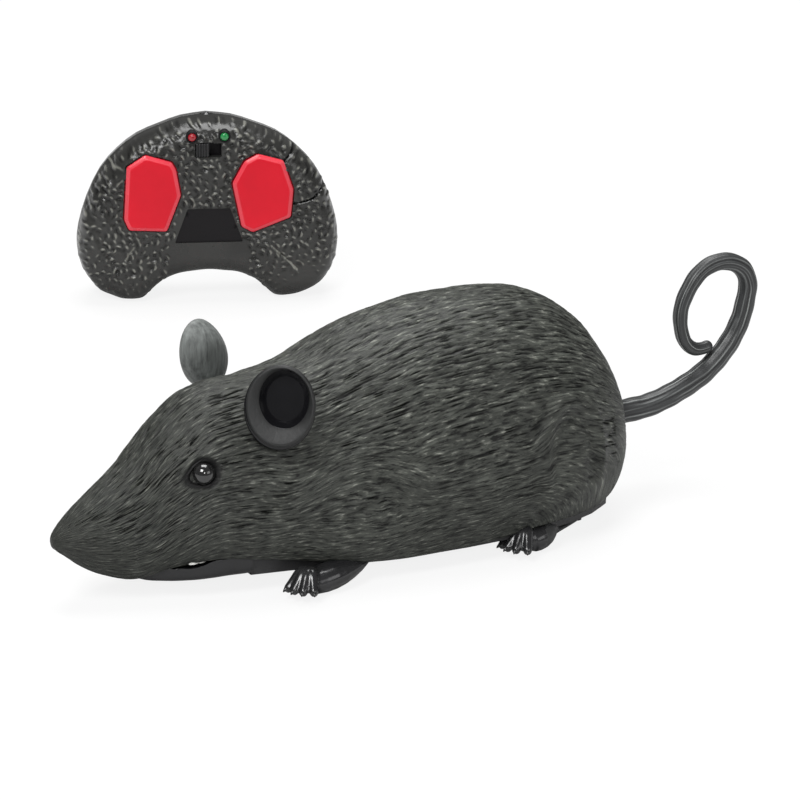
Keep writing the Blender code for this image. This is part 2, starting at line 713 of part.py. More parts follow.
def limb(start, end, radius_start, radius_end):
    """A rounded arm between two points."""
    way = (end - start).normalized()
    span = (end - start).length
    rings = [[start - way * radius_start]]
    for share, fat in LIMB_SHARES:
        radius = (radius_start + (radius_end - radius_start) * share) * fat
        rings.append(oval_ring(start + way * (span * share), way, radius, radius, LIMB_SIDES))
    rings.append([end + way * radius_end * LIMB_END_SHARE])
    return loft(rings)


def make_paw(rat, name, sign, palm, toe_length, toe_turns, arm_end, peg):
    paw = add_piece(name, ball(mirrored(palm, sign), PAW_PALM_RADIUS, PALM_SIDES, PALM_RINGS), PAW_BLACK, rat)
    for degrees in toe_turns:
        turn = math.radians(degrees)
        if sign > 0.0:
            turn = -turn
        join(paw, paw_toe(mirrored(palm, sign), turn, toe_length))
    for end in (arm_end, Vector((peg[0], -peg[1], arm_end.z))):
        start_radius, end_radius = PAW_PALM_RADIUS * LIMB_START_SHARE, PAW_PALM_RADIUS * LIMB_END_SHARE
        join(paw, limb(mirrored(palm, sign), mirrored(end, sign), start_radius, end_radius))
    low = mirrored(palm, sign) - Vector((PAW_REACH, PAW_REACH, 0.0))
    high = mirrored(palm, sign) + Vector((PAW_REACH, PAW_REACH, 0.0))
    low.z, high.z = PAW_FLOOR_GAP, PAW_TOP
    keep_inside(paw, box(low, high))
    peg_x, peg_y = peg
    base = PAW_FLOOR_GAP + PAW_PALM_RADIUS
    top = CHASSIS_BOTTOM + CHASSIS_PLATE
    join(paw, rod((peg_x, sign * peg_y, base), (0, 0, 1), top - base, PAW_PEG_RADIUS, SMALL_SIDES))


def make_paws(rat):
    for sign in (-1.0, 1.0):
        side = side_name(sign)
        make_paw(rat, f"front_paw_{side}", sign, FRONT_PALM, FRONT_TOE_LENGTH, FRONT_TOE_TURNS,
                 FRONT_ARM_END, FRONT_PEG)
        make_paw(rat, f"hind_paw_{side}", sign, HIND_PALM, HIND_TOE_LENGTH, HIND_TOE_TURNS,
                 HIND_HEEL_END, HIND_PEG)


# The tail's middle line in the rat's middle plane, as shares of its reach and rise
TAIL_ROUTE_SHARES = (
    (0.00, 0.00), (0.13, 0.00), (0.28, 0.01), (0.45, 0.06), (0.63, 0.15), (0.74, 0.25), (0.84, 0.375),
    (0.92, 0.52), (0.975, 0.67), (1.00, 0.80), (0.955, 0.92), (0.85, 0.99), (0.73, 0.99), (0.63, 0.93),
    (0.555, 0.82), (0.51, 0.70), (0.505, 0.575), (0.535, 0.45), (0.60, 0.375), (0.685, 0.365), (0.74, 0.395),
)
TAIL_RINGS = 40
TAIL_SIDES = 10


def tail_line(count):
    """Points and directions along the tail, evenly spread over the route's own points."""
    last = len(TAIL_ROUTE_SHARES) - 1
    knots = list(range(last + 1))
    line = []
    for i in range(count):
        here = last * i / (count - 1)
        out, rise = (smooth_value(knots, [row[k] for row in TAIL_ROUTE_SHARES], here) for k in (0, 1))
        line.append(Vector((BODY_LENGTH + FIT_GAP + out * TAIL_REACH, 0.0, TAIL_Z + rise * TAIL_RISE)))
    ways = [(line[min(i + 1, count - 1)] - line[max(i - 1, 0)]).normalized() for i in range(count)]
    return line, ways


def make_tail(rat):
    line, ways = tail_line(TAIL_RINGS)
    rings = []
    for i, (point, way) in enumerate(zip(line, ways)):
        share = i / (TAIL_RINGS - 1)
        radius = TAIL_ROOT_RADIUS + (TAIL_TIP_RADIUS - TAIL_ROOT_RADIUS) * share
        rings.append(oval_ring(point, way, radius, radius, TAIL_SIDES))
    rings.append([line[-1] + ways[-1] * TAIL_TIP_RADIUS])
    pivot = (BODY_LENGTH, 0.0, TAIL_Z)
    tail = add_piece("tail", loft(rings), TAIL_GREY, rat, pivot)
    start = BODY_LENGTH - TAIL_PLUG_LENGTH
    plug = turned((start, 0.0, TAIL_Z), (1.0, 0.0, 0.0), [
        (0.0, TAIL_FLANGE_RADIUS * TAIL_FLANGE_NOSE_SHARE),
        (TAIL_FLANGE_WIDTH / 2.0, TAIL_FLANGE_RADIUS),
        (TAIL_FLANGE_WIDTH, TAIL_FLANGE_RADIUS),
        (TAIL_FLANGE_WIDTH, TAIL_PLUG_RADIUS),
        (TAIL_PLUG_LENGTH + OVERRUN, TAIL_PLUG_RADIUS),
    ], ROUND_SIDES)
    join(tail, plug)


# Chassis: rim, wheel wells, axle lugs, battery box, caster turret, switch and board
PLATE_TOP = CHASSIS_BOTTOM + CHASSIS_PLATE
CHASSIS_START = JAW_END + FIT_GAP
RIM_WALL = 1.4 * MM
RIM_TOP = 15.5 * MM
WHEEL_WELL_GAP = 1.5 * MM
LUG_THICKNESS = 1.6 * MM
LUG_WIDTH = 9.0 * MM
LUG_HEIGHT = 12.5 * MM
LUG_GAP = 1.2 * MM
CELL_PITCH = 10.8 * MM
BATTERY_WALL = 1.3 * MM
BATTERY_WALL_HEIGHT = 10.0 * MM
BATTERY_END_GAP = 3.0 * MM
DOOR_THICKNESS = 1.6 * MM
DOOR_WIDTH = 44.0 * MM
DOOR_TAB_WIDTH = 8.0 * MM
DOOR_TAB_LENGTH = 6.5 * MM
DOOR_SCREW_LENGTH = 4.6 * MM
CONTACT_THICKNESS = 0.5 * MM
CONTACT_HEIGHT = 8.0 * MM
CONTACT_BUMP = 1.4 * MM
CASTER_BORE = 9.2 * MM
CASTER_TURRET_WALL = 1.3 * MM
CASTER_ROOF_BOTTOM = 14.6 * MM
CASTER_ROOF = 1.5 * MM
CASTER_STEM_RADIUS = 2.0 * MM
CASTER_DISC_RADIUS = 7.4 * MM
CASTER_DISC_THICKNESS = 1.5 * MM
CASTER_LEG_THICKNESS = 1.3 * MM
CASTER_LEG_WIDTH = 4.0 * MM
CASTER_PIN_RADIUS = 0.8 * MM
CASTER_CLIP_RADIUS = 2.8 * MM
CASTER_CLIP_THICKNESS = 2.2 * MM
CASTER_STOP_RADIUS = 0.8 * MM
CASTER_STOP_PLACE = 5.6 * MM
CASTER_STOP_RISE = 2.0 * MM
CASTER_SWING = math.radians(60.0)
CASTER_SLOT_PLAY = math.radians(12.0)
CASTER_SLOT_STEPS = 8
CASTER_CROWN_SHARE = 0.20
SWITCH_FROM_RUMP = 23.0 * MM
SWITCH_X = BODY_LENGTH - SWITCH_FROM_RUMP
SWITCH_Y = -7.0 * MM
SWITCH_LENGTH = 9.0 * MM
SWITCH_WIDTH = 6.0 * MM
SWITCH_HEIGHT = 4.0 * MM
SWITCH_TRAVEL = 2.5 * MM
SWITCH_KNOB_LENGTH = 3.0 * MM
SWITCH_KNOB_WIDTH = 2.0 * MM
SWITCH_KNOB_DROP = 1.2 * MM
BOARD_FROM_RUMP = 15.5 * MM
BOARD_LENGTH = 18.0 * MM
BOARD_END = BODY_LENGTH - BOARD_FROM_RUMP
BOARD_START = BOARD_END - BOARD_LENGTH
BOARD_WIDTH = 26.0 * MM
BOARD_BOTTOM = 26.0 * MM
BOARD_THICKNESS = 1.2 * MM
BOARD_POST_RADIUS = 1.8 * MM
BOARD_POST_SET_IN = 2.6 * MM
BOARD_POST_SIDES = 10
CHIP_HEIGHT = 1.68 * MM
CHIP_LENGTH = 7.15 * MM
CHIP_WIDTH = 9.1 * MM
CHIP_FROM_END = 3.25 * MM
CAPACITOR_HEIGHT = 8.4 * MM
CAPACITOR_RADIUS = 3.0 * MM
CAPACITOR_IN = 6.5 * MM
CAPACITOR_OUT = 8.45 * MM
RECEIVER_IN = 5.2 * MM
RECEIVER_SIZE = 2.7 * MM
RECEIVER_HEIGHT = 6.45 * MM
RECEIVER_LENS = 1.9 * MM
RECEIVER_LENS_UP = 3.75 * MM

# Gear train: each gear's centre, found by swinging one mesh distance back from the axle
MESH_DISTANCE = GEAR_MODULE * (PINION_TEETH + WHEEL_TEETH) / 2.0 + MESH_PLAY
STAGE_ANGLES = (math.radians(150.0), math.radians(165.0), math.radians(187.0))
FIRST_PLANE_Y = 7.0 * MM
MOTOR_FACE_Y = 5.0 * MM
GEARBOX_PLATE = 1.2 * MM
GEARBOX_MARGIN = 4.2 * MM
GEARBOX_POST_RADIUS = 1.4 * MM
MOTOR_BOSS_RADIUS = 3.0 * MM
MOTOR_SHAFT_RADIUS = 1.0 * MM
SADDLE_THICKNESS = 1.5 * MM
SADDLE_PLACE_SHARES = (0.85, 0.45)
MOTOR_SIDE_STEPS = 7
GEARBOX_POST_TURNS = (math.radians(88.0), math.radians(62.0))
AXLE_CENTRE = Vector((AXLE_X, 0.0, WHEEL_RADIUS))


def swing(centre, angle, distance):
    return centre + Vector((math.cos(angle), 0.0, math.sin(angle))) * distance


SECOND_GEAR = swing(AXLE_CENTRE, STAGE_ANGLES[0], MESH_DISTANCE)
FIRST_GEAR = swing(SECOND_GEAR, STAGE_ANGLES[1], MESH_DISTANCE)
PINION = swing(FIRST_GEAR, STAGE_ANGLES[2], MESH_DISTANCE)


def ring_solid(base, axis, profile, sides=FINE_SIDES):
    """A closed profile of (distance along the axis, radius) swept right round the axis."""
    axis = Vector(axis)
    bm = bmesh.new()
    loops = [
        [bm.verts.new(point) for point in circle(Vector(base) + axis * along, axis, radius, sides)]
        for along, radius in profile
    ]
    for low, high in zip(loops, loops[1:] + loops[:1]):
        for i in range(sides):
            j = (i + 1) % sides
            bm.faces.new((low[i], low[j], high[j], high[i]))
    return finish_mesh(bm)


def hull_outline(points):
    """The convex outline round a set of 2-D points, in order."""
    points = sorted(set(points))

    def half(sequence):
        chain = []
        for point in sequence:
            while len(chain) > 1:
                (ax, ay), (bx, by) = chain[-2], chain[-1]
                if (bx - ax) * (point[1] - ay) - (by - ay) * (point[0] - ax) > 0.0:
                    break
                chain.pop()
            chain.append(point)
        return chain[:-1]

    return half(points) + half(points[::-1])


def round_points(x, z, radius, count=ROUND_SIDES):
    return [
        (x + radius * math.cos(a), z + radius * math.sin(a))
        for a in (2.0 * math.pi * i / count for i in range(count))
    ]


def motor_outline(grow=0.0):
    """The can's section: round sides and flat top and bottom."""
    half_width, half_height = MOTOR_WIDTH / 2.0 + grow, MOTOR_HEIGHT / 2.0 + grow
    turn = math.asin(half_height / half_width)
    right = [turn * (2.0 * i / MOTOR_SIDE_STEPS - 1.0) for i in range(MOTOR_SIDE_STEPS + 1)]
    turns = right + [a + math.pi for a in right]
    return [(PINION.x + half_width * math.cos(a), PINION.z + half_width * math.sin(a)) for a in turns]


def cell_places():
    return [BATTERY_MIDDLE_X + CELL_PITCH * i for i in (-1, 0, 1)]


CELL_Z = CHASSIS_BOTTOM + DOOR_THICKNESS + 2.0 * FIT_GAP + CELL_RADIUS
BATTERY_START = BATTERY_MIDDLE_X - CELL_PITCH - CELL_RADIUS - FIT_GAP
BATTERY_END = BATTERY_MIDDLE_X + CELL_PITCH + CELL_RADIUS + FIT_GAP
BATTERY_HALF = CELL_LENGTH / 2.0 + BATTERY_END_GAP


def make_chassis(rat):
    chassis = add_piece("chassis_base", cavity(SHELL_WALL + FIT_GAP), CHASSIS_BLACK, rat)
    end = BELLY_END_SHARE * BODY_LENGTH - FIT_GAP
    keep_inside(chassis, box((CHASSIS_START, -BODY_WIDTH, CHASSIS_BOTTOM), (end, BODY_WIDTH, RIM_TOP)))
    cut(chassis, cavity(SHELL_WALL + FIT_GAP + RIM_WALL, PLATE_TOP))
    add_caster_turret(chassis)
    add_battery_box(chassis)
    add_axle_lugs(chassis)
    add_motor_saddles(chassis)
    add_board_posts(chassis)
    for x, y, _ in post_places():
        cut(chassis, rod((x, y, CHASSIS_BOTTOM - OVERRUN), (0, 0, 1), CHASSIS_PLATE + 2.0 * OVERRUN,
                         SCREW_RADIUS + FIT_GAP, SMALL_SIDES))
    for peg_x, peg_y in (FRONT_PEG, HIND_PEG):
        for sign in (-1.0, 1.0):
            cut(chassis, rod((peg_x, sign * peg_y, CHASSIS_BOTTOM - OVERRUN), (0, 0, 1),
                             CHASSIS_PLATE + 2.0 * OVERRUN, PAW_PEG_RADIUS + FIT_GAP, SMALL_SIDES))
    half = SWITCH_KNOB_LENGTH / 2.0 + FIT_GAP
    cut(chassis, box(
        (SWITCH_X - half, SWITCH_Y - SWITCH_KNOB_WIDTH / 2.0 - FIT_GAP, CHASSIS_BOTTOM - OVERRUN),
        (SWITCH_X + half + SWITCH_TRAVEL, SWITCH_Y + SWITCH_KNOB_WIDTH / 2.0 + FIT_GAP, PLATE_TOP + OVERRUN)))
    return chassis


def add_caster_turret(chassis):
    """A round tower over the caster, with a roof that carries its stem and limits its swing."""
    centre = (CASTER_X, 0.0, CHASSIS_BOTTOM)
    outer = CASTER_BORE + CASTER_TURRET_WALL
    join(chassis, rod(centre, (0, 0, 1), CASTER_ROOF_BOTTOM + CASTER_ROOF - CHASSIS_BOTTOM, outer, FINE_SIDES))
    below = CHASSIS_BOTTOM - OVERRUN
    cut(chassis, rod((CASTER_X, 0.0, below), (0, 0, 1), CASTER_ROOF_BOTTOM - below, CASTER_BORE, FINE_SIDES))
    cut(chassis, rod((CASTER_X, 0.0, below), (0, 0, 1), CASTER_ROOF_BOTTOM + 2.0 * OVERRUN,
                     CASTER_STEM_RADIUS + RUNNING_GAP))
    half = CASTER_STOP_RADIUS + FIT_GAP
    start, end = -CASTER_SLOT_PLAY, CASTER_SWING + CASTER_SLOT_PLAY
    turns = [start + (end - start) * i / CASTER_SLOT_STEPS for i in range(CASTER_SLOT_STEPS + 1)]
    arc = [(CASTER_X - (CASTER_STOP_PLACE + half) * math.cos(a), -(CASTER_STOP_PLACE + half) * math.sin(a))
           for a in turns]
    arc += [(CASTER_X - (CASTER_STOP_PLACE - half) * math.cos(a), -(CASTER_STOP_PLACE - half) * math.sin(a))
            for a in turns[::-1]]
    cut(chassis, slab(arc, "Z", CASTER_ROOF_BOTTOM - OVERRUN, CASTER_ROOF_BOTTOM + 2.0 * OVERRUN))


def add_battery_box(chassis):
    """Four walls round the cells, open underneath for the door and above for the cells' height."""
    low = (BATTERY_START - BATTERY_WALL, -BATTERY_HALF - BATTERY_WALL, CHASSIS_BOTTOM)
    high = (BATTERY_END + BATTERY_WALL, BATTERY_HALF + BATTERY_WALL, PLATE_TOP + BATTERY_WALL_HEIGHT)
    join(chassis, box(low, high))
    cut(chassis, box((BATTERY_START, -BATTERY_HALF, PLATE_TOP), (BATTERY_END, BATTERY_HALF, high[2] + OVERRUN)))
    cut(chassis, box(
        (BATTERY_START, -DOOR_WIDTH / 2.0 - FIT_GAP, CHASSIS_BOTTOM - OVERRUN),
        (BATTERY_END, DOOR_WIDTH / 2.0 + FIT_GAP, PLATE_TOP + OVERRUN)))
    tab_half = DOOR_TAB_WIDTH / 2.0 + FIT_GAP
    tab_end = BATTERY_END + DOOR_TAB_LENGTH + FIT_GAP
    step = CHASSIS_BOTTOM + DOOR_THICKNESS + FIT_GAP
    join(chassis, box(
        (BATTERY_END, -tab_half - OVERRUN, step), (tab_end + OVERRUN, tab_half + OVERRUN, PLATE_TOP + CHASSIS_PLATE)))
    cut(chassis, box((BATTERY_END - OVERRUN, -tab_half, CHASSIS_BOTTOM - OVERRUN), (tab_end, tab_half, step)))
    cut(chassis, rod(door_screw_base(), (0, 0, 1), DOOR_SCREW_LENGTH + OVERRUN, SCREW_RADIUS + FIT_GAP / 2.0,
                     SMALL_SIDES))


def door_screw_base():
    return (BATTERY_END + DOOR_TAB_LENGTH / 2.0, 0.0, CHASSIS_BOTTOM)


def lug_side(sign, start, end):
    return (min(sign * start, sign * end), max(sign * start, sign * end))


def add_axle_lugs(chassis):
    """Two upright bearings for the rear axle, just inside the wheels, and the holes the wheels run in."""
    reach = WHEEL_RADIUS + WHEEL_WELL_GAP
    for sign in (-1.0, 1.0):
        end = WHEEL_INNER_Y - LUG_GAP
        low, high = lug_side(sign, end - LUG_THICKNESS, end)
        join(chassis, box(
            (AXLE_X - LUG_WIDTH / 2.0, low, CHASSIS_BOTTOM),
            (AXLE_X + LUG_WIDTH / 2.0, high, CHASSIS_BOTTOM + LUG_HEIGHT)))
        low, high = lug_side(sign, WHEEL_INNER_Y - LUG_GAP / 2.0, WHEEL_INNER_Y + WHEEL_WIDTH + WHEEL_WELL_GAP)
        cut(chassis, box((AXLE_X - reach, low, CHASSIS_BOTTOM - OVERRUN), (AXLE_X + reach, high, PLATE_TOP + OVERRUN)))
    half = WHEEL_INNER_Y
    cut(chassis, rod((AXLE_X, -half, WHEEL_RADIUS), (0, 1, 0), 2.0 * half, AXLE_RADIUS + RUNNING_GAP,
                     AXLE_SIDES))
    gear_low = FIRST_PLANE_Y + 2.0 * GEAR_PLANE_STEP - FIT_GAP
    gear_high = gear_low + GEAR_WIDTH + 2.0 * FIT_GAP
    gear_reach = GEAR_MODULE * WHEEL_TEETH / 2.0 + FIT_GAP
    cut(chassis, box((AXLE_X - gear_reach, gear_low, CHASSIS_BOTTOM - OVERRUN),
                     (AXLE_X + gear_reach, gear_high, PLATE_TOP + OVERRUN)))


def add_motor_saddles(chassis):
    """Two ribs with the can's outline cut into them."""
    half = MOTOR_WIDTH / 2.0
    for share in SADDLE_PLACE_SHARES:
        y = MOTOR_FACE_Y - MOTOR_LENGTH * share
        join(chassis, box(
            (PINION.x - half - SADDLE_THICKNESS, y, CHASSIS_BOTTOM),
            (PINION.x + half + SADDLE_THICKNESS, y + SADDLE_THICKNESS, PINION.z)))
    cut(chassis, slab(motor_outline(FIT_GAP), "Y", MOTOR_FACE_Y - MOTOR_LENGTH, MOTOR_FACE_Y))


def board_post_places():
    """Three corners of the board; the fourth stands over the power switch."""
    x_low, x_high = BOARD_START + BOARD_POST_SET_IN, BOARD_END - BOARD_POST_SET_IN
    y = BOARD_WIDTH / 2.0 - BOARD_POST_SET_IN
    return [(x_low, -y), (x_low, y), (x_high, y)]


def add_board_posts(chassis):
    for x, y in board_post_places():
        join(chassis, rod((x, y, CHASSIS_BOTTOM), (0, 0, 1), BOARD_BOTTOM - FIT_GAP - CHASSIS_BOTTOM,
                          BOARD_POST_RADIUS, BOARD_POST_SIDES))


def make_screw(parent, name, head_base, way, length, head_radius=SCREW_HEAD_RADIUS, pivot=None):
    """A pan-head screw: the head's outer face is at the base and the shank runs along the way."""
    profile = [
        (0.0, head_radius * SCREW_HEAD_TOP_SHARE),
        (SCREW_HEAD_HEIGHT * SCREW_HEAD_EDGE_SHARE, head_radius),
        (SCREW_HEAD_HEIGHT, head_radius),
        (SCREW_HEAD_HEIGHT, SCREW_RADIUS),
        (SCREW_HEAD_HEIGHT + length * SCREW_TAPER_SHARE, SCREW_RADIUS),
        (SCREW_HEAD_HEIGHT + length, SCREW_RADIUS * SCREW_TIP_SHARE),
    ]
    return add_piece(name, turned(head_base, way, profile, SCREW_SIDES), STEEL, parent, pivot)


def make_chassis_screws(rat):
    for i, (x, y, _) in enumerate(post_places()):
        base = (x, y, CHASSIS_BOTTOM - FIT_GAP - SCREW_HEAD_HEIGHT)
        make_screw(rat, f"chassis_screw_{i + 1}", base, (0, 0, 1), SCREW_LENGTH)


def plane_y(index):
    """The near face of each gear plane: 0 next to the motor, then 1 and 2."""
    return FIRST_PLANE_Y + GEAR_PLANE_STEP * index


def gearbox_outline():
    points = []
    for centre in (PINION, FIRST_GEAR, SECOND_GEAR, AXLE_CENTRE):
        points += round_points(centre.x, centre.z, GEARBOX_MARGIN)
    for x, z in gearbox_posts():
        points += round_points(x, z, GEARBOX_POST_RADIUS + GEARBOX_PLATE)
    foot = PLATE_TOP + FIT_GAP
    points += [(PINION.x, foot), (AXLE_X - GEARBOX_MARGIN, foot)]
    return hull_outline(points)


def gearbox_posts():
    """Two places that stay clear of every gear, for the posts that hold the plates apart."""
    clear = GEAR_MODULE * (WHEEL_TEETH / 2.0 + 1.0) + GEARBOX_POST_RADIUS + FIT_GAP
    upper = swing(FIRST_GEAR, GEARBOX_POST_TURNS[0], clear)
    rear = swing(AXLE_CENTRE, GEARBOX_POST_TURNS[1], clear)
    return [(upper.x, upper.z), (rear.x, rear.z)]


def make_gearbox(rat):
    inner_start = MOTOR_FACE_Y + FIT_GAP
    inner = add_piece("gearbox_plate_inner",
                      slab(gearbox_outline(), "Y", inner_start, inner_start + GEARBOX_PLATE), GEAR_WHITE, rat)
    outer_start = plane_y(2) + GEAR_WIDTH + FIT_GAP
    outer = add_piece("gearbox_plate_outer",
                      slab(gearbox_outline(), "Y", outer_start, outer_start + GEARBOX_PLATE), GEAR_WHITE, rat)
    for x, z in gearbox_posts():
        base = inner_start + GEARBOX_PLATE + FIT_GAP
        join(outer, rod((x, base, z), (0, 1, 0), outer_start + OVERRUN / 4.0 - base, GEARBOX_POST_RADIUS,
                        SCREW_SIDES))
    holes = ((FIRST_GEAR, GEAR_PIN_RADIUS), (SECOND_GEAR, GEAR_PIN_RADIUS), (AXLE_CENTRE, AXLE_RADIUS))
    for plate in (inner, outer):
        for centre, radius in holes:
            cut(plate, rod((centre.x, inner_start - OVERRUN, centre.z), (0, 1, 0),
                           outer_start + GEARBOX_PLATE + 2.0 * OVERRUN - inner_start, radius + RUNNING_GAP))
    cut(inner, rod((PINION.x, inner_start - OVERRUN, PINION.z), (0, 1, 0), GEARBOX_PLATE + 2.0 * OVERRUN,
                   MOTOR_BOSS_RADIUS + FIT_GAP))


def make_motor(rat):
    start = MOTOR_FACE_Y - MOTOR_LENGTH
    motor = add_piece("motor_can", slab(motor_outline(), "Y", start, MOTOR_FACE_Y), STEEL, rat)
    for base in (MOTOR_FACE_Y - RIVET_OVERLAP, start - GEARBOX_PLATE):
        join(motor, rod((PINION.x, base, PINION.z), (0, 1, 0), RIVET_OVERLAP + GEARBOX_PLATE, MOTOR_BOSS_RADIUS))
    cut(motor, rod((PINION.x, MOTOR_FACE_Y - OVERRUN, PINION.z), (0, 1, 0), 3.0 * OVERRUN,
                   MOTOR_SHAFT_RADIUS + RUNNING_GAP, SMALL_SIDES))


# A tooth's flank from root to tip: how far outside the pitch circle in modules, and half its width as a
# share of the tooth pitch
TOOTH_PROFILE_SHARES = ((-1.20, 0.36), (0.95, 0.10))


def gear_outline(teeth, phase):
    """Straight-flanked teeth, thinner than half the pitch so that meshed gears keep some play."""
    pitch = GEAR_MODULE * teeth / 2.0
    step = 2.0 * math.pi / teeth
    points = []
    for i in range(teeth):
        middle = step * i + phase
        for depth, wide in TOOTH_PROFILE_SHARES:
            radius = pitch + depth * GEAR_MODULE
            points.append((radius, middle - wide * step))
        for depth, wide in TOOTH_PROFILE_SHARES[::-1]:
            radius = pitch + depth * GEAR_MODULE
            points.append((radius, middle + wide * step))
    return points


def gear_slice(centre, teeth, phase, start, width):
    """A toothed disc with its axis along Y."""
    outline = [(centre.x + r * math.cos(a), centre.z + r * math.sin(a)) for r, a in gear_outline(teeth, phase)]
    return slab(outline, "Y", start, start + width)


def gear_bore(centre, start, width, radius):
    return rod((centre.x, start - OVERRUN, centre.z), (0, 1, 0), width + 2.0 * OVERRUN, radius, SMALL_SIDES)


def mesh_phase(from_phase, from_teeth, teeth, angle):
    """The phase that puts a gap of this gear where a tooth of its partner points, along the line of centres.

    The angle is the direction from the partner's centre to this gear's centre.
    """
    partner_step = 2.0 * math.pi / from_teeth
    lead = (angle - from_phase) % partner_step / partner_step
    step = 2.0 * math.pi / teeth
    return (angle + math.pi + step * (0.5 + lead)) % step


def make_drive(rat):
    """Axle gear, two compound gears and the pinion, each in mesh with the one before it at rest."""
    bore = GEAR_PIN_RADIUS + RUNNING_GAP
    axle_phase = 0.0
    second_small = mesh_phase(axle_phase, WHEEL_TEETH, PINION_TEETH, STAGE_ANGLES[0])
    second_big = 0.0
    first_small = mesh_phase(second_big, WHEEL_TEETH, PINION_TEETH, STAGE_ANGLES[1])
    first_big = 0.0
    pinion_phase = mesh_phase(first_big, WHEEL_TEETH, PINION_TEETH, STAGE_ANGLES[2])

    gear = gear_slice(AXLE_CENTRE, WHEEL_TEETH, axle_phase, plane_y(2), GEAR_WIDTH)
    piece = add_piece("axle_gear", gear, GEAR_WHITE, rat, AXLE_CENTRE)
    cut(piece, gear_bore(AXLE_CENTRE, plane_y(2), GEAR_WIDTH, AXLE_RADIUS + RUNNING_GAP))
    for name, centre, big_phase, small_phase, index in (
        ("compound_gear_2", SECOND_GEAR, second_big, second_small, 1),
        ("compound_gear_1", FIRST_GEAR, first_big, first_small, 0),
    ):
        big = gear_slice(centre, WHEEL_TEETH, big_phase, plane_y(index), GEAR_WIDTH)
        piece = add_piece(name, big, GEAR_WHITE, rat, centre)
        small_start = plane_y(index) + GEAR_WIDTH - RIVET_OVERLAP
        small_width = GEAR_PLANE_STEP + RIVET_OVERLAP
        join(piece, gear_slice(centre, PINION_TEETH, small_phase, small_start, small_width))
        cut(piece, gear_bore(centre, plane_y(index), GEAR_WIDTH + small_width, bore))
    pinion_mesh = gear_slice(PINION, PINION_TEETH, pinion_phase, plane_y(0), GEAR_WIDTH)
    pinion = add_piece("motor_pinion", pinion_mesh, GEAR_WHITE, rat, PINION)
    shaft_start = MOTOR_FACE_Y - OVERRUN + FIT_GAP
    join(pinion, rod((PINION.x, shaft_start, PINION.z), (0, 1, 0),
                     plane_y(0) + GEAR_WIDTH / 2.0 - shaft_start, MOTOR_SHAFT_RADIUS, SMALL_SIDES))
    pin_start = MOTOR_FACE_Y + FIT_GAP + RUNNING_GAP
    pin_length = plane_y(2) + GEAR_WIDTH + FIT_GAP + GEARBOX_PLATE - pin_start
    for name, centre in (("gear_pin_1", FIRST_GEAR), ("gear_pin_2", SECOND_GEAR)):
        pin = rod((centre.x, pin_start, centre.z), (0, 1, 0), pin_length, GEAR_PIN_RADIUS, SMALL_SIDES)
        add_piece(name, pin, STEEL, rat)


def make_wheels(rat):
    half = WHEEL_INNER_Y + WHEEL_WIDTH
    add_piece("rear_axle", rod((AXLE_X, -half, WHEEL_RADIUS), (0, 1, 0), 2.0 * half, AXLE_RADIUS, AXLE_SIDES),
              STEEL, rat, AXLE_CENTRE)
    hub_radius = WHEEL_RADIUS - TYRE_THICKNESS
    dish = WHEEL_WIDTH * HUB_DISH_SHARE
    rim = hub_radius * HUB_RIM_SHARE
    for sign in (-1.0, 1.0):
        side = side_name(sign)
        base = (AXLE_X, sign * WHEEL_INNER_Y, WHEEL_RADIUS)
        way = (0.0, sign, 0.0)
        bore = AXLE_RADIUS + RUNNING_GAP
        hub = ring_solid(base, way, [
            (0.0, bore), (0.0, HUB_BOSS_RADIUS), (dish, HUB_BOSS_RADIUS), (dish, rim - HUB_DRAFT), (0.0, rim),
            (0.0, hub_radius), (WHEEL_WIDTH, hub_radius), (WHEEL_WIDTH, rim), (WHEEL_WIDTH - dish, rim - HUB_DRAFT),
            (WHEEL_WIDTH - dish, HUB_BOSS_RADIUS), (WHEEL_WIDTH - HUB_DRAFT, HUB_BOSS_RADIUS - HUB_DRAFT),
            (WHEEL_WIDTH - HUB_DRAFT, bore),
        ])
        add_piece(f"rear_hub_{side}", hub, CHASSIS_BLACK, rat, AXLE_CENTRE)
        round_off = TYRE_THICKNESS * TYRE_ROUND_SHARE
        tyre = ring_solid(base, way, [
            (0.0, hub_radius + RUNNING_GAP), (0.0, WHEEL_RADIUS - round_off), (round_off, WHEEL_RADIUS),
            (WHEEL_WIDTH - round_off, WHEEL_RADIUS), (WHEEL_WIDTH, WHEEL_RADIUS - round_off),
            (WHEEL_WIDTH, hub_radius + RUNNING_GAP),
        ])
        add_piece(f"rear_tyre_{side}", tyre, RUBBER, rat, AXLE_CENTRE)


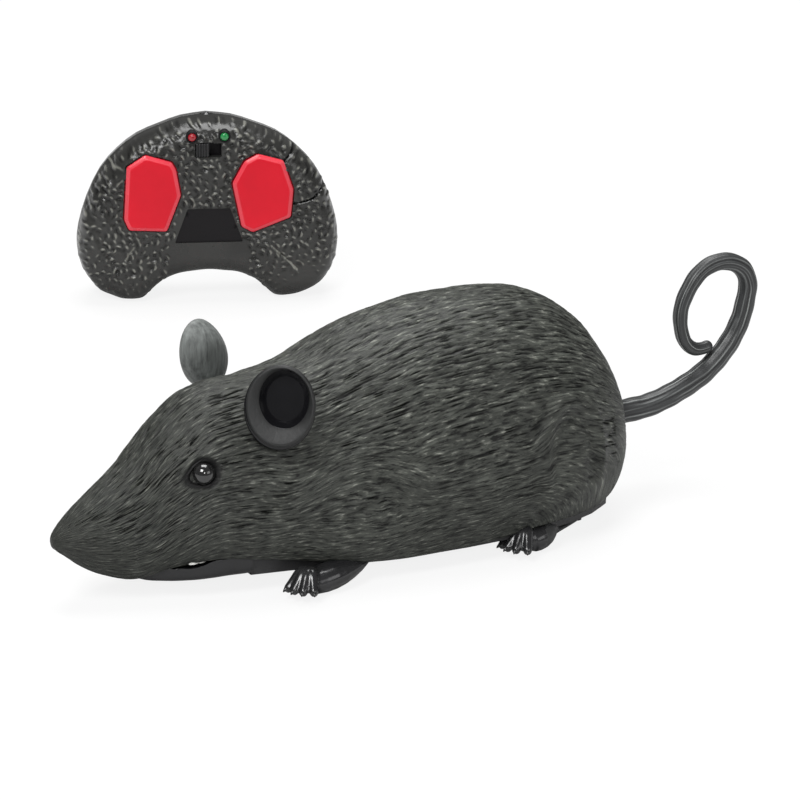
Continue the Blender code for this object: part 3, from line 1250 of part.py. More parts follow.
def make_caster(rat):
    """Fork with its stem and snap head, wheel, and wheel pin."""
    pivot = (CASTER_X, 0.0, CASTER_WHEEL_RADIUS)
    wheel_x = CASTER_X + CASTER_TRAIL
    disc_top = CASTER_ROOF_BOTTOM - FIT_GAP
    disc_base = disc_top - CASTER_DISC_THICKNESS
    roof_top = CASTER_ROOF_BOTTOM + CASTER_ROOF
    clip_base = roof_top + FIT_GAP
    stem_top = clip_base + CASTER_CLIP_THICKNESS
    fork = add_piece("caster_fork", turned((CASTER_X, 0.0, disc_base), (0, 0, 1), [
        (0.0, CASTER_DISC_RADIUS), (CASTER_DISC_THICKNESS, CASTER_DISC_RADIUS),
        (CASTER_DISC_THICKNESS, CASTER_STEM_RADIUS), (clip_base - disc_base, CASTER_STEM_RADIUS),
        (clip_base - disc_base, CASTER_CLIP_RADIUS), (stem_top - disc_base, CASTER_STEM_RADIUS)], AXLE_SIDES),
        CHASSIS_BLACK, rat, pivot)
    leg_inner = CASTER_WHEEL_WIDTH / 2.0 + FIT_GAP
    for sign in (-1.0, 1.0):
        low, high = lug_side(sign, leg_inner, leg_inner + CASTER_LEG_THICKNESS)
        join(fork, box(
            (wheel_x - CASTER_LEG_WIDTH / 2.0, low, CASTER_WHEEL_RADIUS - 2.0 * CASTER_PIN_RADIUS),
            (wheel_x + CASTER_LEG_WIDTH / 2.0, high, disc_base + CASTER_DISC_THICKNESS / 2.0)))
    join(fork, rod((CASTER_X - CASTER_STOP_PLACE, 0.0, disc_base + CASTER_DISC_THICKNESS / 2.0), (0, 0, 1),
                   CASTER_STOP_RISE, CASTER_STOP_RADIUS, LIMB_SIDES))
    reach = leg_inner + CASTER_LEG_THICKNESS
    cut(fork, rod((wheel_x, -reach - OVERRUN, CASTER_WHEEL_RADIUS), (0, 1, 0), 2.0 * (reach + OVERRUN),
                  CASTER_PIN_RADIUS + RUNNING_GAP, SMALL_SIDES))
    centre = (wheel_x, 0.0, CASTER_WHEEL_RADIUS)
    add_piece("caster_pin", rod((wheel_x, -reach, CASTER_WHEEL_RADIUS), (0, 1, 0), 2.0 * reach,
                                CASTER_PIN_RADIUS, SMALL_SIDES), STEEL, rat, pivot)
    half = CASTER_WHEEL_WIDTH / 2.0
    crown = CASTER_WHEEL_WIDTH * CASTER_CROWN_SHARE
    wheel = ring_solid((wheel_x, -half, CASTER_WHEEL_RADIUS), (0, 1, 0), [
        (0.0, CASTER_PIN_RADIUS + RUNNING_GAP), (0.0, CASTER_WHEEL_RADIUS - crown), (crown, CASTER_WHEEL_RADIUS),
        (CASTER_WHEEL_WIDTH - crown, CASTER_WHEEL_RADIUS), (CASTER_WHEEL_WIDTH, CASTER_WHEEL_RADIUS - crown),
        (CASTER_WHEEL_WIDTH, CASTER_PIN_RADIUS + RUNNING_GAP)])
    add_piece("caster_wheel", wheel, GEAR_WHITE, rat, centre)


# An AAA cell from its flat end to its button: along as a share of its length, and radius as a share
CELL_SHARES = ((0.0, 0.94), (0.007, 1.0), (0.97, 1.0), (0.98, 0.9), (0.982, 0.36), (1.0, 0.34))
CELL_SIDES = 14


def cell_profile():
    return [(along * CELL_LENGTH, wide * CELL_RADIUS) for along, wide in CELL_SHARES]


def make_cells(rat):
    for i, x in enumerate(cell_places()):
        way = 1.0 if i % 2 == 0 else -1.0
        base = (x, -way * CELL_LENGTH / 2.0, CELL_Z)
        cell = turned(base, (0.0, way, 0.0), cell_profile(), CELL_SIDES)
        add_piece(f"battery_cell_{i + 1}", cell, CELL_BLUE, rat)
    for sign in (-1.0, 1.0):
        face = BATTERY_HALF - FIT_GAP
        low, high = lug_side(sign, face - CONTACT_THICKNESS, face)
        plate = box((BATTERY_START + FIT_GAP, low, CELL_Z - CONTACT_HEIGHT / 2.0),
                    (BATTERY_END - FIT_GAP, high, CELL_Z + CONTACT_HEIGHT / 2.0))
        contact = add_piece(f"battery_contact_{side_name(sign)}", plate, SPRING_METAL, rat)
        end = CELL_LENGTH / 2.0 + FIT_GAP
        for x in cell_places():
            cone = turned((x, sign * face, CELL_Z), (0.0, -sign, 0.0), [
                (CONTACT_THICKNESS / 2.0, 2.0 * CONTACT_BUMP), (face - end, CONTACT_BUMP)], SCREW_SIDES)
            join(contact, cone)


def make_battery_door(rat):
    pivot = (BATTERY_MIDDLE_X, 0.0, CHASSIS_BOTTOM)
    door = add_piece("battery_door", box(
        (BATTERY_START + FIT_GAP, -DOOR_WIDTH / 2.0, CHASSIS_BOTTOM),
        (BATTERY_END - FIT_GAP, DOOR_WIDTH / 2.0, CHASSIS_BOTTOM + DOOR_THICKNESS)), CHASSIS_BLACK, rat, pivot)
    join(door, box(
        (BATTERY_END - OVERRUN, -DOOR_TAB_WIDTH / 2.0, CHASSIS_BOTTOM),
        (BATTERY_END + DOOR_TAB_LENGTH, DOOR_TAB_WIDTH / 2.0, CHASSIS_BOTTOM + DOOR_THICKNESS)))
    x, y, _ = door_screw_base()
    cut(door, rod((x, y, CHASSIS_BOTTOM - OVERRUN), (0, 0, 1), DOOR_THICKNESS + 2.0 * OVERRUN,
                  SCREW_RADIUS + FIT_GAP, SMALL_SIDES))
    base = (x, y, CHASSIS_BOTTOM - FIT_GAP - SCREW_HEAD_HEIGHT)
    make_screw(rat, "battery_door_screw", base, (0, 0, 1), DOOR_SCREW_LENGTH, pivot=pivot)


def make_electrics(rat):
    """Power switch and its knob, and the receiver board with its chip, capacitor and infra-red receiver."""
    half = SWITCH_LENGTH / 2.0
    middle = SWITCH_X + SWITCH_TRAVEL / 2.0
    base = PLATE_TOP + FIT_GAP
    case = add_piece("power_switch_case", box(
        (middle - half, SWITCH_Y - SWITCH_WIDTH / 2.0, base),
        (middle + half, SWITCH_Y + SWITCH_WIDTH / 2.0, base + SWITCH_HEIGHT)), STEEL, rat)
    knob_half = SWITCH_KNOB_LENGTH / 2.0
    cut(case, box(
        (SWITCH_X - knob_half - FIT_GAP, SWITCH_Y - SWITCH_KNOB_WIDTH / 2.0 - FIT_GAP, base - OVERRUN),
        (SWITCH_X + knob_half + SWITCH_TRAVEL + FIT_GAP, SWITCH_Y + SWITCH_KNOB_WIDTH / 2.0 + FIT_GAP,
         base + SWITCH_HEIGHT / 2.0)))
    add_piece("power_switch_knob", soft_box(
        (SWITCH_X - knob_half, SWITCH_Y - SWITCH_KNOB_WIDTH / 2.0, CHASSIS_BOTTOM - SWITCH_KNOB_DROP),
        (SWITCH_X + knob_half, SWITCH_Y + SWITCH_KNOB_WIDTH / 2.0, base + SWITCH_HEIGHT / 2.0 - FIT_GAP),
        FIT_GAP, 1), GEAR_WHITE, rat, (SWITCH_X, SWITCH_Y, CHASSIS_BOTTOM))
    top = BOARD_BOTTOM + BOARD_THICKNESS
    board = add_piece("receiver_board", box(
        (BOARD_START, -BOARD_WIDTH / 2.0, BOARD_BOTTOM), (BOARD_END, BOARD_WIDTH / 2.0, top)), BOARD_GREEN, rat)
    sunk = top - RIVET_OVERLAP
    chip_x, chip_y = BOARD_START + CHIP_FROM_END, -BOARD_WIDTH / 4.0
    join(board, box((chip_x, chip_y, sunk), (chip_x + CHIP_LENGTH, chip_y + CHIP_WIDTH, top + CHIP_HEIGHT)))
    join(board, rod((BOARD_END - CAPACITOR_IN, -CAPACITOR_OUT, sunk), (0, 0, 1),
                    RIVET_OVERLAP + CAPACITOR_HEIGHT, CAPACITOR_RADIUS, SMALL_SIDES))
    half = RECEIVER_SIZE / 2.0
    x, y = BOARD_END - RECEIVER_IN, RECEIVER_IN
    join(board, box((x - half, y - RECEIVER_SIZE, sunk), (x + half, y + RECEIVER_SIZE, top + RECEIVER_HEIGHT)))
    join(board, ball((x + half, y, top + RECEIVER_LENS_UP), RECEIVER_LENS, SCREW_SIDES))


# Handset: its outline from the middle of the top, round the right grip, to the middle of the arch below.
# Across is a share of half its width, up a share of its height.
HANDSET_OUTLINE_SHARES = (
    (0.000, 1.000), (0.196, 0.982), (0.370, 0.940), (0.543, 0.888), (0.696, 0.806), (0.826, 0.701),
    (0.924, 0.560), (0.989, 0.403), (1.000, 0.284), (0.961, 0.164), (0.870, 0.072), (0.739, 0.018),
    (0.609, 0.000), (0.500, 0.007), (0.424, 0.054), (0.337, 0.104), (0.207, 0.140), (0.000, 0.154),
)
# How the shells round off from the parting line to the face: depth as a share of half the handset's
# depth, and how far the outline has drawn in, as a share of the same
HANDSET_FRONT_SHARES = ((0.0, 0.00), (0.50, 0.04), (0.80, 0.17), (0.95, 0.35), (1.0, 0.55))
HANDSET_BACK_SHARES = ((0.0, 0.00), (0.45, 0.08), (0.78, 0.26), (0.95, 0.47), (1.0, 0.62))
BUTTON_TRAVEL = 1.2 * MM
BUTTON_PROUD = 1.3 * MM
BUTTON_DEPTH = 3.0 * MM
BUTTON_FLANGE = 0.9 * MM
BUTTON_EDGE = 0.6 * MM
PAD_SHEET = 0.8 * MM
# Corners of the two buttons, across and up from the middle of the handset's foot, as shares of half its
# width and of its height
LEFT_BUTTON_SHARES = (
    (-0.630, 0.776), (-0.652, 0.484), (-0.613, 0.421), (-0.320, 0.410), (-0.211, 0.610), (-0.248, 0.758),
    (-0.280, 0.799), (-0.483, 0.843),
)
RIGHT_BUTTON_SHARES = (
    (0.576, 0.793), (0.380, 0.833), (0.272, 0.793), (0.178, 0.673), (0.248, 0.427), (0.335, 0.393),
    (0.630, 0.473), (0.652, 0.627),
)
PANEL_SHARES = ((-0.163, 0.530), (-0.261, 0.342), (0.261, 0.342), (0.163, 0.530))
PANEL_RECESS = 0.6 * MM
SLOT_UP_SHARE = 0.858
SLOT_LENGTH = 9.3 * MM
SLOT_HEIGHT = 5.4 * MM
SLIDER_LENGTH = 4.6 * MM
SLIDER_RIDGE = 0.51 * MM
LAMP_APART = 11.4 * MM
LAMP_UP_SHARE = 0.930
LAMP_RADIUS = 1.5 * MM
LAMP_LENGTH = 7.0 * MM
LAMP_DEPTH_SHARE = 0.95
DOME_SHARE = 0.70
HANDSET_BOARD_FRONT = -4.2 * MM
HANDSET_BOARD_THICKNESS = 1.2 * MM
HANDSET_SCREW_FROM_TOP = 24.0 * MM
HANDSET_SCREW_FROM_SIDE = 12.5 * MM
HANDSET_SCREW_UP = HANDSET_HEIGHT - HANDSET_SCREW_FROM_TOP
HANDSET_SCREW_OUT = HANDSET_WIDTH / 2.0 - HANDSET_SCREW_FROM_SIDE
HANDSET_BOARD_LOW_SHARE = 0.30
HANDSET_BOARD_HIGH_SHARE = 0.78
HANDSET_BOARD_TOP_SHARE = 0.88
HANDSET_BOARD_BESIDE_POST = 5.0 * MM
HANDSET_BOARD_TOP_HALF_SHARE = 0.124
HANDSET_BOARD_LOW = HANDSET_BOARD_LOW_SHARE * HANDSET_HEIGHT
HANDSET_BOARD_HIGH = HANDSET_BOARD_HIGH_SHARE * HANDSET_HEIGHT
HANDSET_BOARD_TOP = HANDSET_BOARD_TOP_SHARE * HANDSET_HEIGHT
HANDSET_BOARD_HALF = HANDSET_SCREW_OUT - HANDSET_BOARD_BESIDE_POST
HANDSET_BOARD_TOP_HALF = HANDSET_BOARD_TOP_HALF_SHARE * HANDSET_WIDTH
PAD_DOME_SHRINK = 4.2 * MM
PAD_FOOT_SHRINK = 2.4 * MM
HANDSET_CELL_Y = 4.9 * MM
HANDSET_CELL_LOW_Z = 22.0 * MM
HANDSET_DOOR_HALF = 26.5 * MM
HANDSET_DOOR_TOP = 39.5 * MM
HANDSET_DOOR_BOTTOM = 15.5 * MM
HANDSET_DOOR_TAB = 7.0 * MM
HANDSET_SCREW_SINK = 6.0 * MM
HANDSET_POST_RADIUS = 2.6 * MM
HANDSET_DOOR_SCREW_LENGTH = 3.6 * MM
EMITTER_RADIUS = 2.2 * MM
EMITTER_Y = 0.0
EMITTER_PROUD = 0.6 * MM
EMITTER_LENGTH = 10.0 * MM


def handset_outline(inset=0.0, points_a_gap=HANDSET_GAP_STEPS):
    """The crescent in the handset's own upright plane, set in along its own outward directions."""
    knots = list(range(len(HANDSET_OUTLINE_SHARES)))
    steps = (len(knots) - 1) * points_a_gap
    right = []
    for i in range(steps + 1):
        here = i / points_a_gap
        across, up = (smooth_value(knots, [row[k] for row in HANDSET_OUTLINE_SHARES], here) for k in (0, 1))
        right.append(Vector((across * HANDSET_WIDTH / 2.0, up * HANDSET_HEIGHT)))
    points = right + [Vector((-p.x, p.y)) for p in right[-2:0:-1]]
    moved = []
    count = len(points)
    for i, point in enumerate(points):
        way = (points[(i + 1) % count] - points[i - 1]).normalized()
        inward = Vector((way.y, -way.x))
        moved.append(point + inward * inset)
    return [(p.x, max(p.y, 0.0)) for p in moved]


def handset_form(shares, sign, wall=0.0, start=0.0):
    """Half of the handset, from the parting line forwards (sign -1) or backwards (sign +1)."""
    half = HANDSET_DEPTH / 2.0
    points_a_gap = 1 if wall else HANDSET_GAP_STEPS
    rings = []
    if wall:
        rings.append([Vector((x, -sign * OVERRUN, z)) for x, z in handset_outline(wall, points_a_gap)])
    for depth, drawn in shares:
        y = sign * max(depth * (half - wall), start)
        inset = wall + drawn * (half - wall)
        rings.append([Vector((x, y, z)) for x, z in handset_outline(inset, points_a_gap)])
    return loft(rings)


def grown(points, amount):
    """A convex outline with each corner moved out along the mean of its two edges."""
    count = len(points)
    area = sum(points[i - 1][0] * points[i][1] - points[i][0] * points[i - 1][1] for i in range(count))
    turn = 1.0 if area > 0.0 else -1.0
    out = []
    for i in range(count):
        before = (Vector(points[i]) - Vector(points[i - 1])).normalized()
        after = (Vector(points[(i + 1) % count]) - Vector(points[i])).normalized()
        normal_a = Vector((before.y, -before.x)) * turn
        normal_b = Vector((after.y, -after.x)) * turn
        mid = (normal_a + normal_b).normalized()
        out.append(tuple(Vector(points[i]) + mid * (amount / mid.dot(normal_a))))
    return out


def sized(shares):
    return [(across * HANDSET_WIDTH / 2.0, up * HANDSET_HEIGHT) for across, up in shares]


def face_slab(outline, front, back):
    return slab(outline, "Y", front, back)


FACE_Y = -HANDSET_DEPTH / 2.0
FACE_INSIDE_Y = FACE_Y + HANDSET_WALL
BUTTON_FRONT_Y = FACE_Y - BUTTON_PROUD
BUTTON_BACK_Y = FACE_Y - BUTTON_PROUD + BUTTON_DEPTH + HANDSET_WALL


def slot_outline(half_length, half_height, middle=0.0):
    up = SLOT_UP_SHARE * HANDSET_HEIGHT
    return [(middle - half_length, up - half_height), (middle + half_length, up - half_height),
            (middle + half_length, up + half_height), (middle - half_length, up + half_height)]


def handset_screw_places():
    return [(sign * HANDSET_SCREW_OUT, HANDSET_SCREW_UP) for sign in (-1.0, 1.0)]


def lamp_places():
    up = LAMP_UP_SHARE * HANDSET_HEIGHT
    return [("lamp_red", -LAMP_APART / 2.0, up, LAMP_RED), ("lamp_green", LAMP_APART / 2.0, up, LAMP_GREEN)]


def emitter_hole():
    base = (0.0, EMITTER_Y, HANDSET_HEIGHT - EMITTER_LENGTH)
    return rod(base, (0, 0, 1), EMITTER_LENGTH + OVERRUN, EMITTER_RADIUS + FIT_GAP, CELL_SIDES)


def make_handset_shells(handset):
    front = add_piece("handset_front_shell", handset_form(HANDSET_FRONT_SHARES, -1.0), HANDSET_GREY, handset)
    cut(front, handset_form(HANDSET_FRONT_SHARES, -1.0, wall=HANDSET_WALL))
    for shares in (LEFT_BUTTON_SHARES, RIGHT_BUTTON_SHARES):
        cut(front, face_slab(grown(sized(shares), FIT_GAP), FACE_Y - OVERRUN, FACE_INSIDE_Y + OVERRUN))
        cut(front, face_slab(grown(sized(shares), BUTTON_FLANGE + FIT_GAP), FACE_INSIDE_Y + FIT_GAP / 2.0,
                             BUTTON_BACK_Y + BUTTON_TRAVEL + FIT_GAP))
    cut(front, face_slab(sized(PANEL_SHARES), FACE_Y - OVERRUN, FACE_Y + PANEL_RECESS))
    slot = slot_outline(SLOT_LENGTH / 2.0, SLOT_HEIGHT / 2.0)
    cut(front, face_slab(slot, FACE_Y - OVERRUN, FACE_INSIDE_Y + OVERRUN))
    for _, across, up, _ in lamp_places():
        cut(front, rod((across, FACE_Y - OVERRUN, up), (0, 1, 0), HANDSET_DEPTH / 2.0, LAMP_RADIUS + FIT_GAP,
                       SMALL_SIDES))
    cut(front, emitter_hole())
    for x, z in handset_screw_places():
        join(front, rod((x, FACE_INSIDE_Y - HANDSET_WALL / 2.0, z), (0, 1, 0),
                        -FIT_GAP - FACE_INSIDE_Y + HANDSET_WALL / 2.0, HANDSET_POST_RADIUS, SMALL_SIDES))
        cut(front, rod((x, FACE_INSIDE_Y + OVERRUN, z), (0, 1, 0), HANDSET_DEPTH / 2.0,
                       SCREW_RADIUS + FIT_GAP / 2.0, SMALL_SIDES))

    form = handset_form(HANDSET_BACK_SHARES, 1.0, start=FIT_GAP)
    back = add_piece("handset_back_shell", form, HANDSET_GREY, handset)
    cut(back, handset_form(HANDSET_BACK_SHARES, 1.0, wall=HANDSET_WALL))
    cut(back, emitter_hole())
    rear = HANDSET_DEPTH / 2.0
    for x, z in handset_screw_places():
        join(back, rod((x, FIT_GAP, z), (0, 1, 0), rear - HANDSET_WALL, HANDSET_POST_RADIUS, SMALL_SIDES))
        cut(back, rod((x, rear - HANDSET_SCREW_SINK, z), (0, 1, 0), HANDSET_SCREW_SINK + OVERRUN,
                      SCREW_HEAD_RADIUS + FIT_GAP / 2.0, SMALL_SIDES))
        cut(back, rod((x, -OVERRUN, z), (0, 1, 0), HANDSET_DEPTH / 2.0, SCREW_RADIUS + FIT_GAP, SMALL_SIDES))
    cut(back, box(
        (-HANDSET_DOOR_HALF - FIT_GAP, rear - HANDSET_WALL * 2.0, HANDSET_DOOR_BOTTOM - FIT_GAP),
        (HANDSET_DOOR_HALF + FIT_GAP, rear + OVERRUN, HANDSET_DOOR_TOP + FIT_GAP)))
    tab = HANDSET_DOOR_TAB / 2.0 + FIT_GAP
    step = rear - HANDSET_WALL / 2.0
    cut(back, box((-tab, step, HANDSET_DOOR_TOP - OVERRUN),
                  (tab, rear + OVERRUN, HANDSET_DOOR_TOP + HANDSET_DOOR_TAB + FIT_GAP)))
    screw_z = HANDSET_DOOR_TOP + HANDSET_DOOR_TAB / 2.0
    join(back, rod((0.0, step - HANDSET_DOOR_SCREW_LENGTH - HANDSET_WALL / 2.0, screw_z), (0, 1, 0),
                   HANDSET_DOOR_SCREW_LENGTH + HANDSET_WALL / 4.0, HANDSET_POST_RADIUS, SMALL_SIDES))
    cut(back, rod((0.0, step - HANDSET_DOOR_SCREW_LENGTH, screw_z), (0, 1, 0), HANDSET_DOOR_SCREW_LENGTH + OVERRUN,
                  SCREW_RADIUS + FIT_GAP / 2.0, SMALL_SIDES))


def make_handset_door(handset):
    rear = HANDSET_DEPTH / 2.0
    pivot = (0.0, rear, HANDSET_DOOR_BOTTOM)
    inside = rear - HANDSET_WALL + FIT_GAP
    door = add_piece("handset_battery_door", box(
        (-HANDSET_DOOR_HALF, inside, HANDSET_DOOR_BOTTOM), (HANDSET_DOOR_HALF, rear + OVERRUN, HANDSET_DOOR_TOP)),
        HANDSET_GREY, handset, pivot)
    step = rear - HANDSET_WALL / 2.0
    join(door, box((-HANDSET_DOOR_TAB / 2.0, step + FIT_GAP, HANDSET_DOOR_TOP - OVERRUN),
                   (HANDSET_DOOR_TAB / 2.0, rear + 2.0 * OVERRUN, HANDSET_DOOR_TOP + HANDSET_DOOR_TAB)))
    keep_inside(door, handset_form(HANDSET_BACK_SHARES, 1.0))
    screw_z = HANDSET_DOOR_TOP + HANDSET_DOOR_TAB / 2.0
    cut(door, rod((0.0, step - OVERRUN, screw_z), (0, 1, 0), 3.0 * OVERRUN, SCREW_RADIUS + FIT_GAP, SMALL_SIDES))
    make_screw(handset, "handset_door_screw", (0.0, rear + FIT_GAP + SCREW_HEAD_HEIGHT, screw_z), (0, -1, 0),
               HANDSET_DOOR_SCREW_LENGTH, pivot=pivot)


def make_handset_controls(handset):
    """Two sprung buttons with flanges behind the face, and the slide switch in its slot."""
    for name, shares in (("button_left", LEFT_BUTTON_SHARES), ("button_right", RIGHT_BUTTON_SHARES)):
        outline = sized(shares)
        front, back = BUTTON_FRONT_Y, BUTTON_BACK_Y
        steps = (
            (front, -BUTTON_EDGE * 2.0), (front + BUTTON_EDGE / 2.0, -BUTTON_EDGE / 2.0), (front + BUTTON_EDGE, 0.0),
            (FACE_INSIDE_Y + FIT_GAP, 0.0), (FACE_INSIDE_Y + FIT_GAP, BUTTON_FLANGE), (back, BUTTON_FLANGE))
        rings = [[Vector((x, y, z)) for x, z in grown(outline, amount)] for y, amount in steps]
        middle = sum((Vector((x, 0.0, z)) for x, z in outline), Vector()) / len(outline)
        add_piece(name, loft(rings), BUTTON_RED, handset, (middle.x, front, middle.z))
    half = SLIDER_LENGTH / 2.0
    middle = -SLOT_LENGTH / 2.0 + half + FIT_GAP
    height = SLOT_HEIGHT / 2.0 - FIT_GAP
    slider = add_piece("slide_switch_knob", face_slab(
        slot_outline(half, height, middle), FACE_Y - BUTTON_PROUD / 2.0, FACE_INSIDE_Y + OVERRUN),
        CHASSIS_BLACK, handset, (middle, FACE_Y, SLOT_UP_SHARE * HANDSET_HEIGHT))
    ridge = SLIDER_RIDGE
    for i in (-1, 1):
        place = middle + i * 2.0 * ridge
        cut(slider, face_slab(slot_outline(ridge / 2.0, SLOT_HEIGHT, place),
                              FACE_Y - BUTTON_PROUD, FACE_Y - BUTTON_PROUD / 2.0 + ridge))
    for name, across, up, finish in lamp_places():
        front = FACE_Y * LAMP_DEPTH_SHARE
        lamp = turned((across, front + LAMP_LENGTH, up), (0, -1, 0), [
            (0.0, LAMP_RADIUS), (LAMP_LENGTH - LAMP_RADIUS / 2.0, LAMP_RADIUS),
            (LAMP_LENGTH - LAMP_RADIUS / 6.0, LAMP_RADIUS * DOME_SHARE), (LAMP_LENGTH, 0.0)], SMALL_SIDES)
        add_piece(name, lamp, finish, handset)


def make_handset_insides(handset):
    back = HANDSET_BOARD_FRONT + HANDSET_BOARD_THICKNESS
    half = HANDSET_BOARD_HALF
    board = add_piece("handset_board", box(
        (-half, HANDSET_BOARD_FRONT, HANDSET_BOARD_LOW), (half, back, HANDSET_BOARD_HIGH)), BOARD_GREEN, handset)
    join(board, box((-HANDSET_BOARD_TOP_HALF, HANDSET_BOARD_FRONT, HANDSET_BOARD_HIGH - OVERRUN),
                    (HANDSET_BOARD_TOP_HALF, back, HANDSET_BOARD_TOP)))
    switch = face_slab(slot_outline(SLOT_LENGTH / 2.0 + HANDSET_WALL, SLOT_HEIGHT / 2.0),
                       FACE_INSIDE_Y + OVERRUN + FIT_GAP, HANDSET_BOARD_FRONT + RIVET_OVERLAP)
    join(board, switch)
    pad_front = BUTTON_BACK_Y + BUTTON_TRAVEL + RUNNING_GAP
    pad_back = HANDSET_BOARD_FRONT - FIT_GAP
    sheet = PAD_SHEET
    pad = add_piece("rubber_pad", box(
        (-half + OVERRUN, pad_back - sheet, HANDSET_BOARD_LOW), (half - OVERRUN, pad_back, HANDSET_BOARD_HIGH)),
        PAD_GREY, handset)
    for shares in (LEFT_BUTTON_SHARES, RIGHT_BUTTON_SHARES):
        rings = [
            [Vector((x, y, z)) for x, z in grown(sized(shares), -amount)]
            for y, amount in ((pad_front, PAD_DOME_SHRINK), (pad_back - sheet / 2.0, PAD_FOOT_SHRINK))
        ]
        join(pad, loft(rings))
    emitter = turned((0.0, EMITTER_Y, HANDSET_HEIGHT + EMITTER_PROUD - EMITTER_LENGTH), (0, 0, 1), [
        (0.0, EMITTER_RADIUS), (EMITTER_LENGTH - EMITTER_RADIUS, EMITTER_RADIUS),
        (EMITTER_LENGTH - EMITTER_PROUD, EMITTER_RADIUS * DOME_SHARE), (EMITTER_LENGTH, 0.0)], CELL_SIDES)
    add_piece("infrared_lamp", emitter, PAW_BLACK, handset)
    for i in (0, 1):
        z = HANDSET_CELL_LOW_Z + i * CELL_PITCH
        way = 1.0 if i == 0 else -1.0
        base = (-way * CELL_LENGTH / 2.0, HANDSET_CELL_Y, z)
        cell = turned(base, (way, 0.0, 0.0), cell_profile(), CELL_SIDES)
        add_piece(f"handset_cell_{i + 1}", cell, CELL_BLUE, handset)
    start = CELL_LENGTH / 2.0 + FIT_GAP + CONTACT_BUMP
    y_low, y_high = HANDSET_CELL_Y - CONTACT_HEIGHT / 2.0, HANDSET_CELL_Y + CONTACT_HEIGHT / 2.0
    z_low = HANDSET_CELL_LOW_Z - CONTACT_HEIGHT / 2.0
    z_high = HANDSET_CELL_LOW_Z + CELL_PITCH + CONTACT_HEIGHT / 2.0
    contact = add_piece("handset_contact", box(
        (-start - CONTACT_THICKNESS, y_low, z_low), (-start, y_high, z_high)), SPRING_METAL, handset)
    for i in (0, 1):
        z = HANDSET_CELL_LOW_Z + i * CELL_PITCH
        join(contact, turned((-start - CONTACT_THICKNESS / 2.0, HANDSET_CELL_Y, z), (1, 0, 0), [
            (0.0, 2.0 * CONTACT_BUMP), (CONTACT_BUMP + CONTACT_THICKNESS / 2.0, CONTACT_BUMP)], SCREW_SIDES))
        join(board, box((start, HANDSET_BOARD_FRONT, z - CONTACT_HEIGHT / 2.0 + FIT_GAP),
                        (start + CONTACT_THICKNESS, y_high, z + CONTACT_HEIGHT / 2.0 - FIT_GAP)))
    for i, (x, z) in enumerate(handset_screw_places()):
        head = (x, HANDSET_DEPTH / 2.0 - HANDSET_SCREW_SINK + FIT_GAP + SCREW_HEAD_HEIGHT, z)
        make_screw(handset, f"handset_screw_{i + 1}", head, (0, -1, 0), SCREW_LENGTH)


def middle_of_set():
    """The middle of the footprint that all the pieces cover, as they finally look."""
    graph = bpy.context.evaluated_depsgraph_get()
    corners = []
    for obj in bpy.context.scene.objects:
        if obj.type == "MESH" and not obj.hide_render:
            seen = obj.evaluated_get(graph)
            corners += [seen.matrix_world @ vertex.co for vertex in seen.data.vertices]
    xs, ys = [c.x for c in corners], [c.y for c in corners]
    return Vector(((min(xs) + max(xs)) / 2.0, (min(ys) + max(ys)) / 2.0, 0.0))


def main():
    clear_scene()
    rat = add_empty("rat_frame")
    handset = add_empty("handset_frame", location=(HANDSET_X, HANDSET_Y, 0.0), turn=HANDSET_TURN)
    make_body_shell(rat)
    make_chassis(rat)
    make_jaw(rat)
    make_teeth(rat)
    make_eyes(rat)
    make_ears(rat)
    make_paws(rat)
    make_tail(rat)
    make_chassis_screws(rat)
    make_gearbox(rat)
    make_motor(rat)
    make_drive(rat)
    make_wheels(rat)
    make_caster(rat)
    make_cells(rat)
    make_battery_door(rat)
    make_electrics(rat)
    make_handset_shells(handset)
    make_handset_door(handset)
    make_handset_controls(handset)
    make_handset_insides(handset)
    bpy.context.view_layer.update()
    middle = middle_of_set()
    for frame in (rat, handset):
        frame.location -= middle
    bpy.context.view_layer.update()


main()
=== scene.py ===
import math

import bmesh
import bpy
import numpy as np
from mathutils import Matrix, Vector
from mathutils.geometry import delaunay_2d_cdt


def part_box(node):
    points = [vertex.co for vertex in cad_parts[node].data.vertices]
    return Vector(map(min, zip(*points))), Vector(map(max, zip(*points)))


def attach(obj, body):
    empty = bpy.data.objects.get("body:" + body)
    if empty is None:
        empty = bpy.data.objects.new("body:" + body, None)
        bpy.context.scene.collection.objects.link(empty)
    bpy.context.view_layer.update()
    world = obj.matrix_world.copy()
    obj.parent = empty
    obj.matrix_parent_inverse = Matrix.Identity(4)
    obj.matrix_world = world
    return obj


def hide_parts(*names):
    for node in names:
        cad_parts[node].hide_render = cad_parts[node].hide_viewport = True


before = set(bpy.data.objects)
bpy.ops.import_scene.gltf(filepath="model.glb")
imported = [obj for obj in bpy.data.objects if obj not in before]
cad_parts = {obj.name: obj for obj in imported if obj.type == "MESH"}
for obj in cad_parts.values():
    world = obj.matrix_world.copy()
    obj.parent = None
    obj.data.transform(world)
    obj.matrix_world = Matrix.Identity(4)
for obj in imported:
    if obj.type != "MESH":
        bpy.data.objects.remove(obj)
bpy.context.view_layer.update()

# Everything below is worked out in millimetres, in the rat's own frame or the handset's own frame,
# and put in its place in metres
MM = 0.001
WELD_DISTANCE = 0.000002
AXLE_X = 163.0
HANDSET_X, HANDSET_Y = 183.0, 236.0
HANDSET_TURN = math.radians(-24.5)
axle_low, axle_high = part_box("rear_axle")
RAT_PLACE = np.array([(axle_low[0] + axle_high[0]) / 2.0 - AXLE_X * MM, (axle_low[1] + axle_high[1]) / 2.0, 0.0])
HAND_PLACE = RAT_PLACE + np.array([HANDSET_X * MM, HANDSET_Y * MM, 0.0])


def in_rat(points):
    return np.asarray(points, dtype=float) * MM + RAT_PLACE


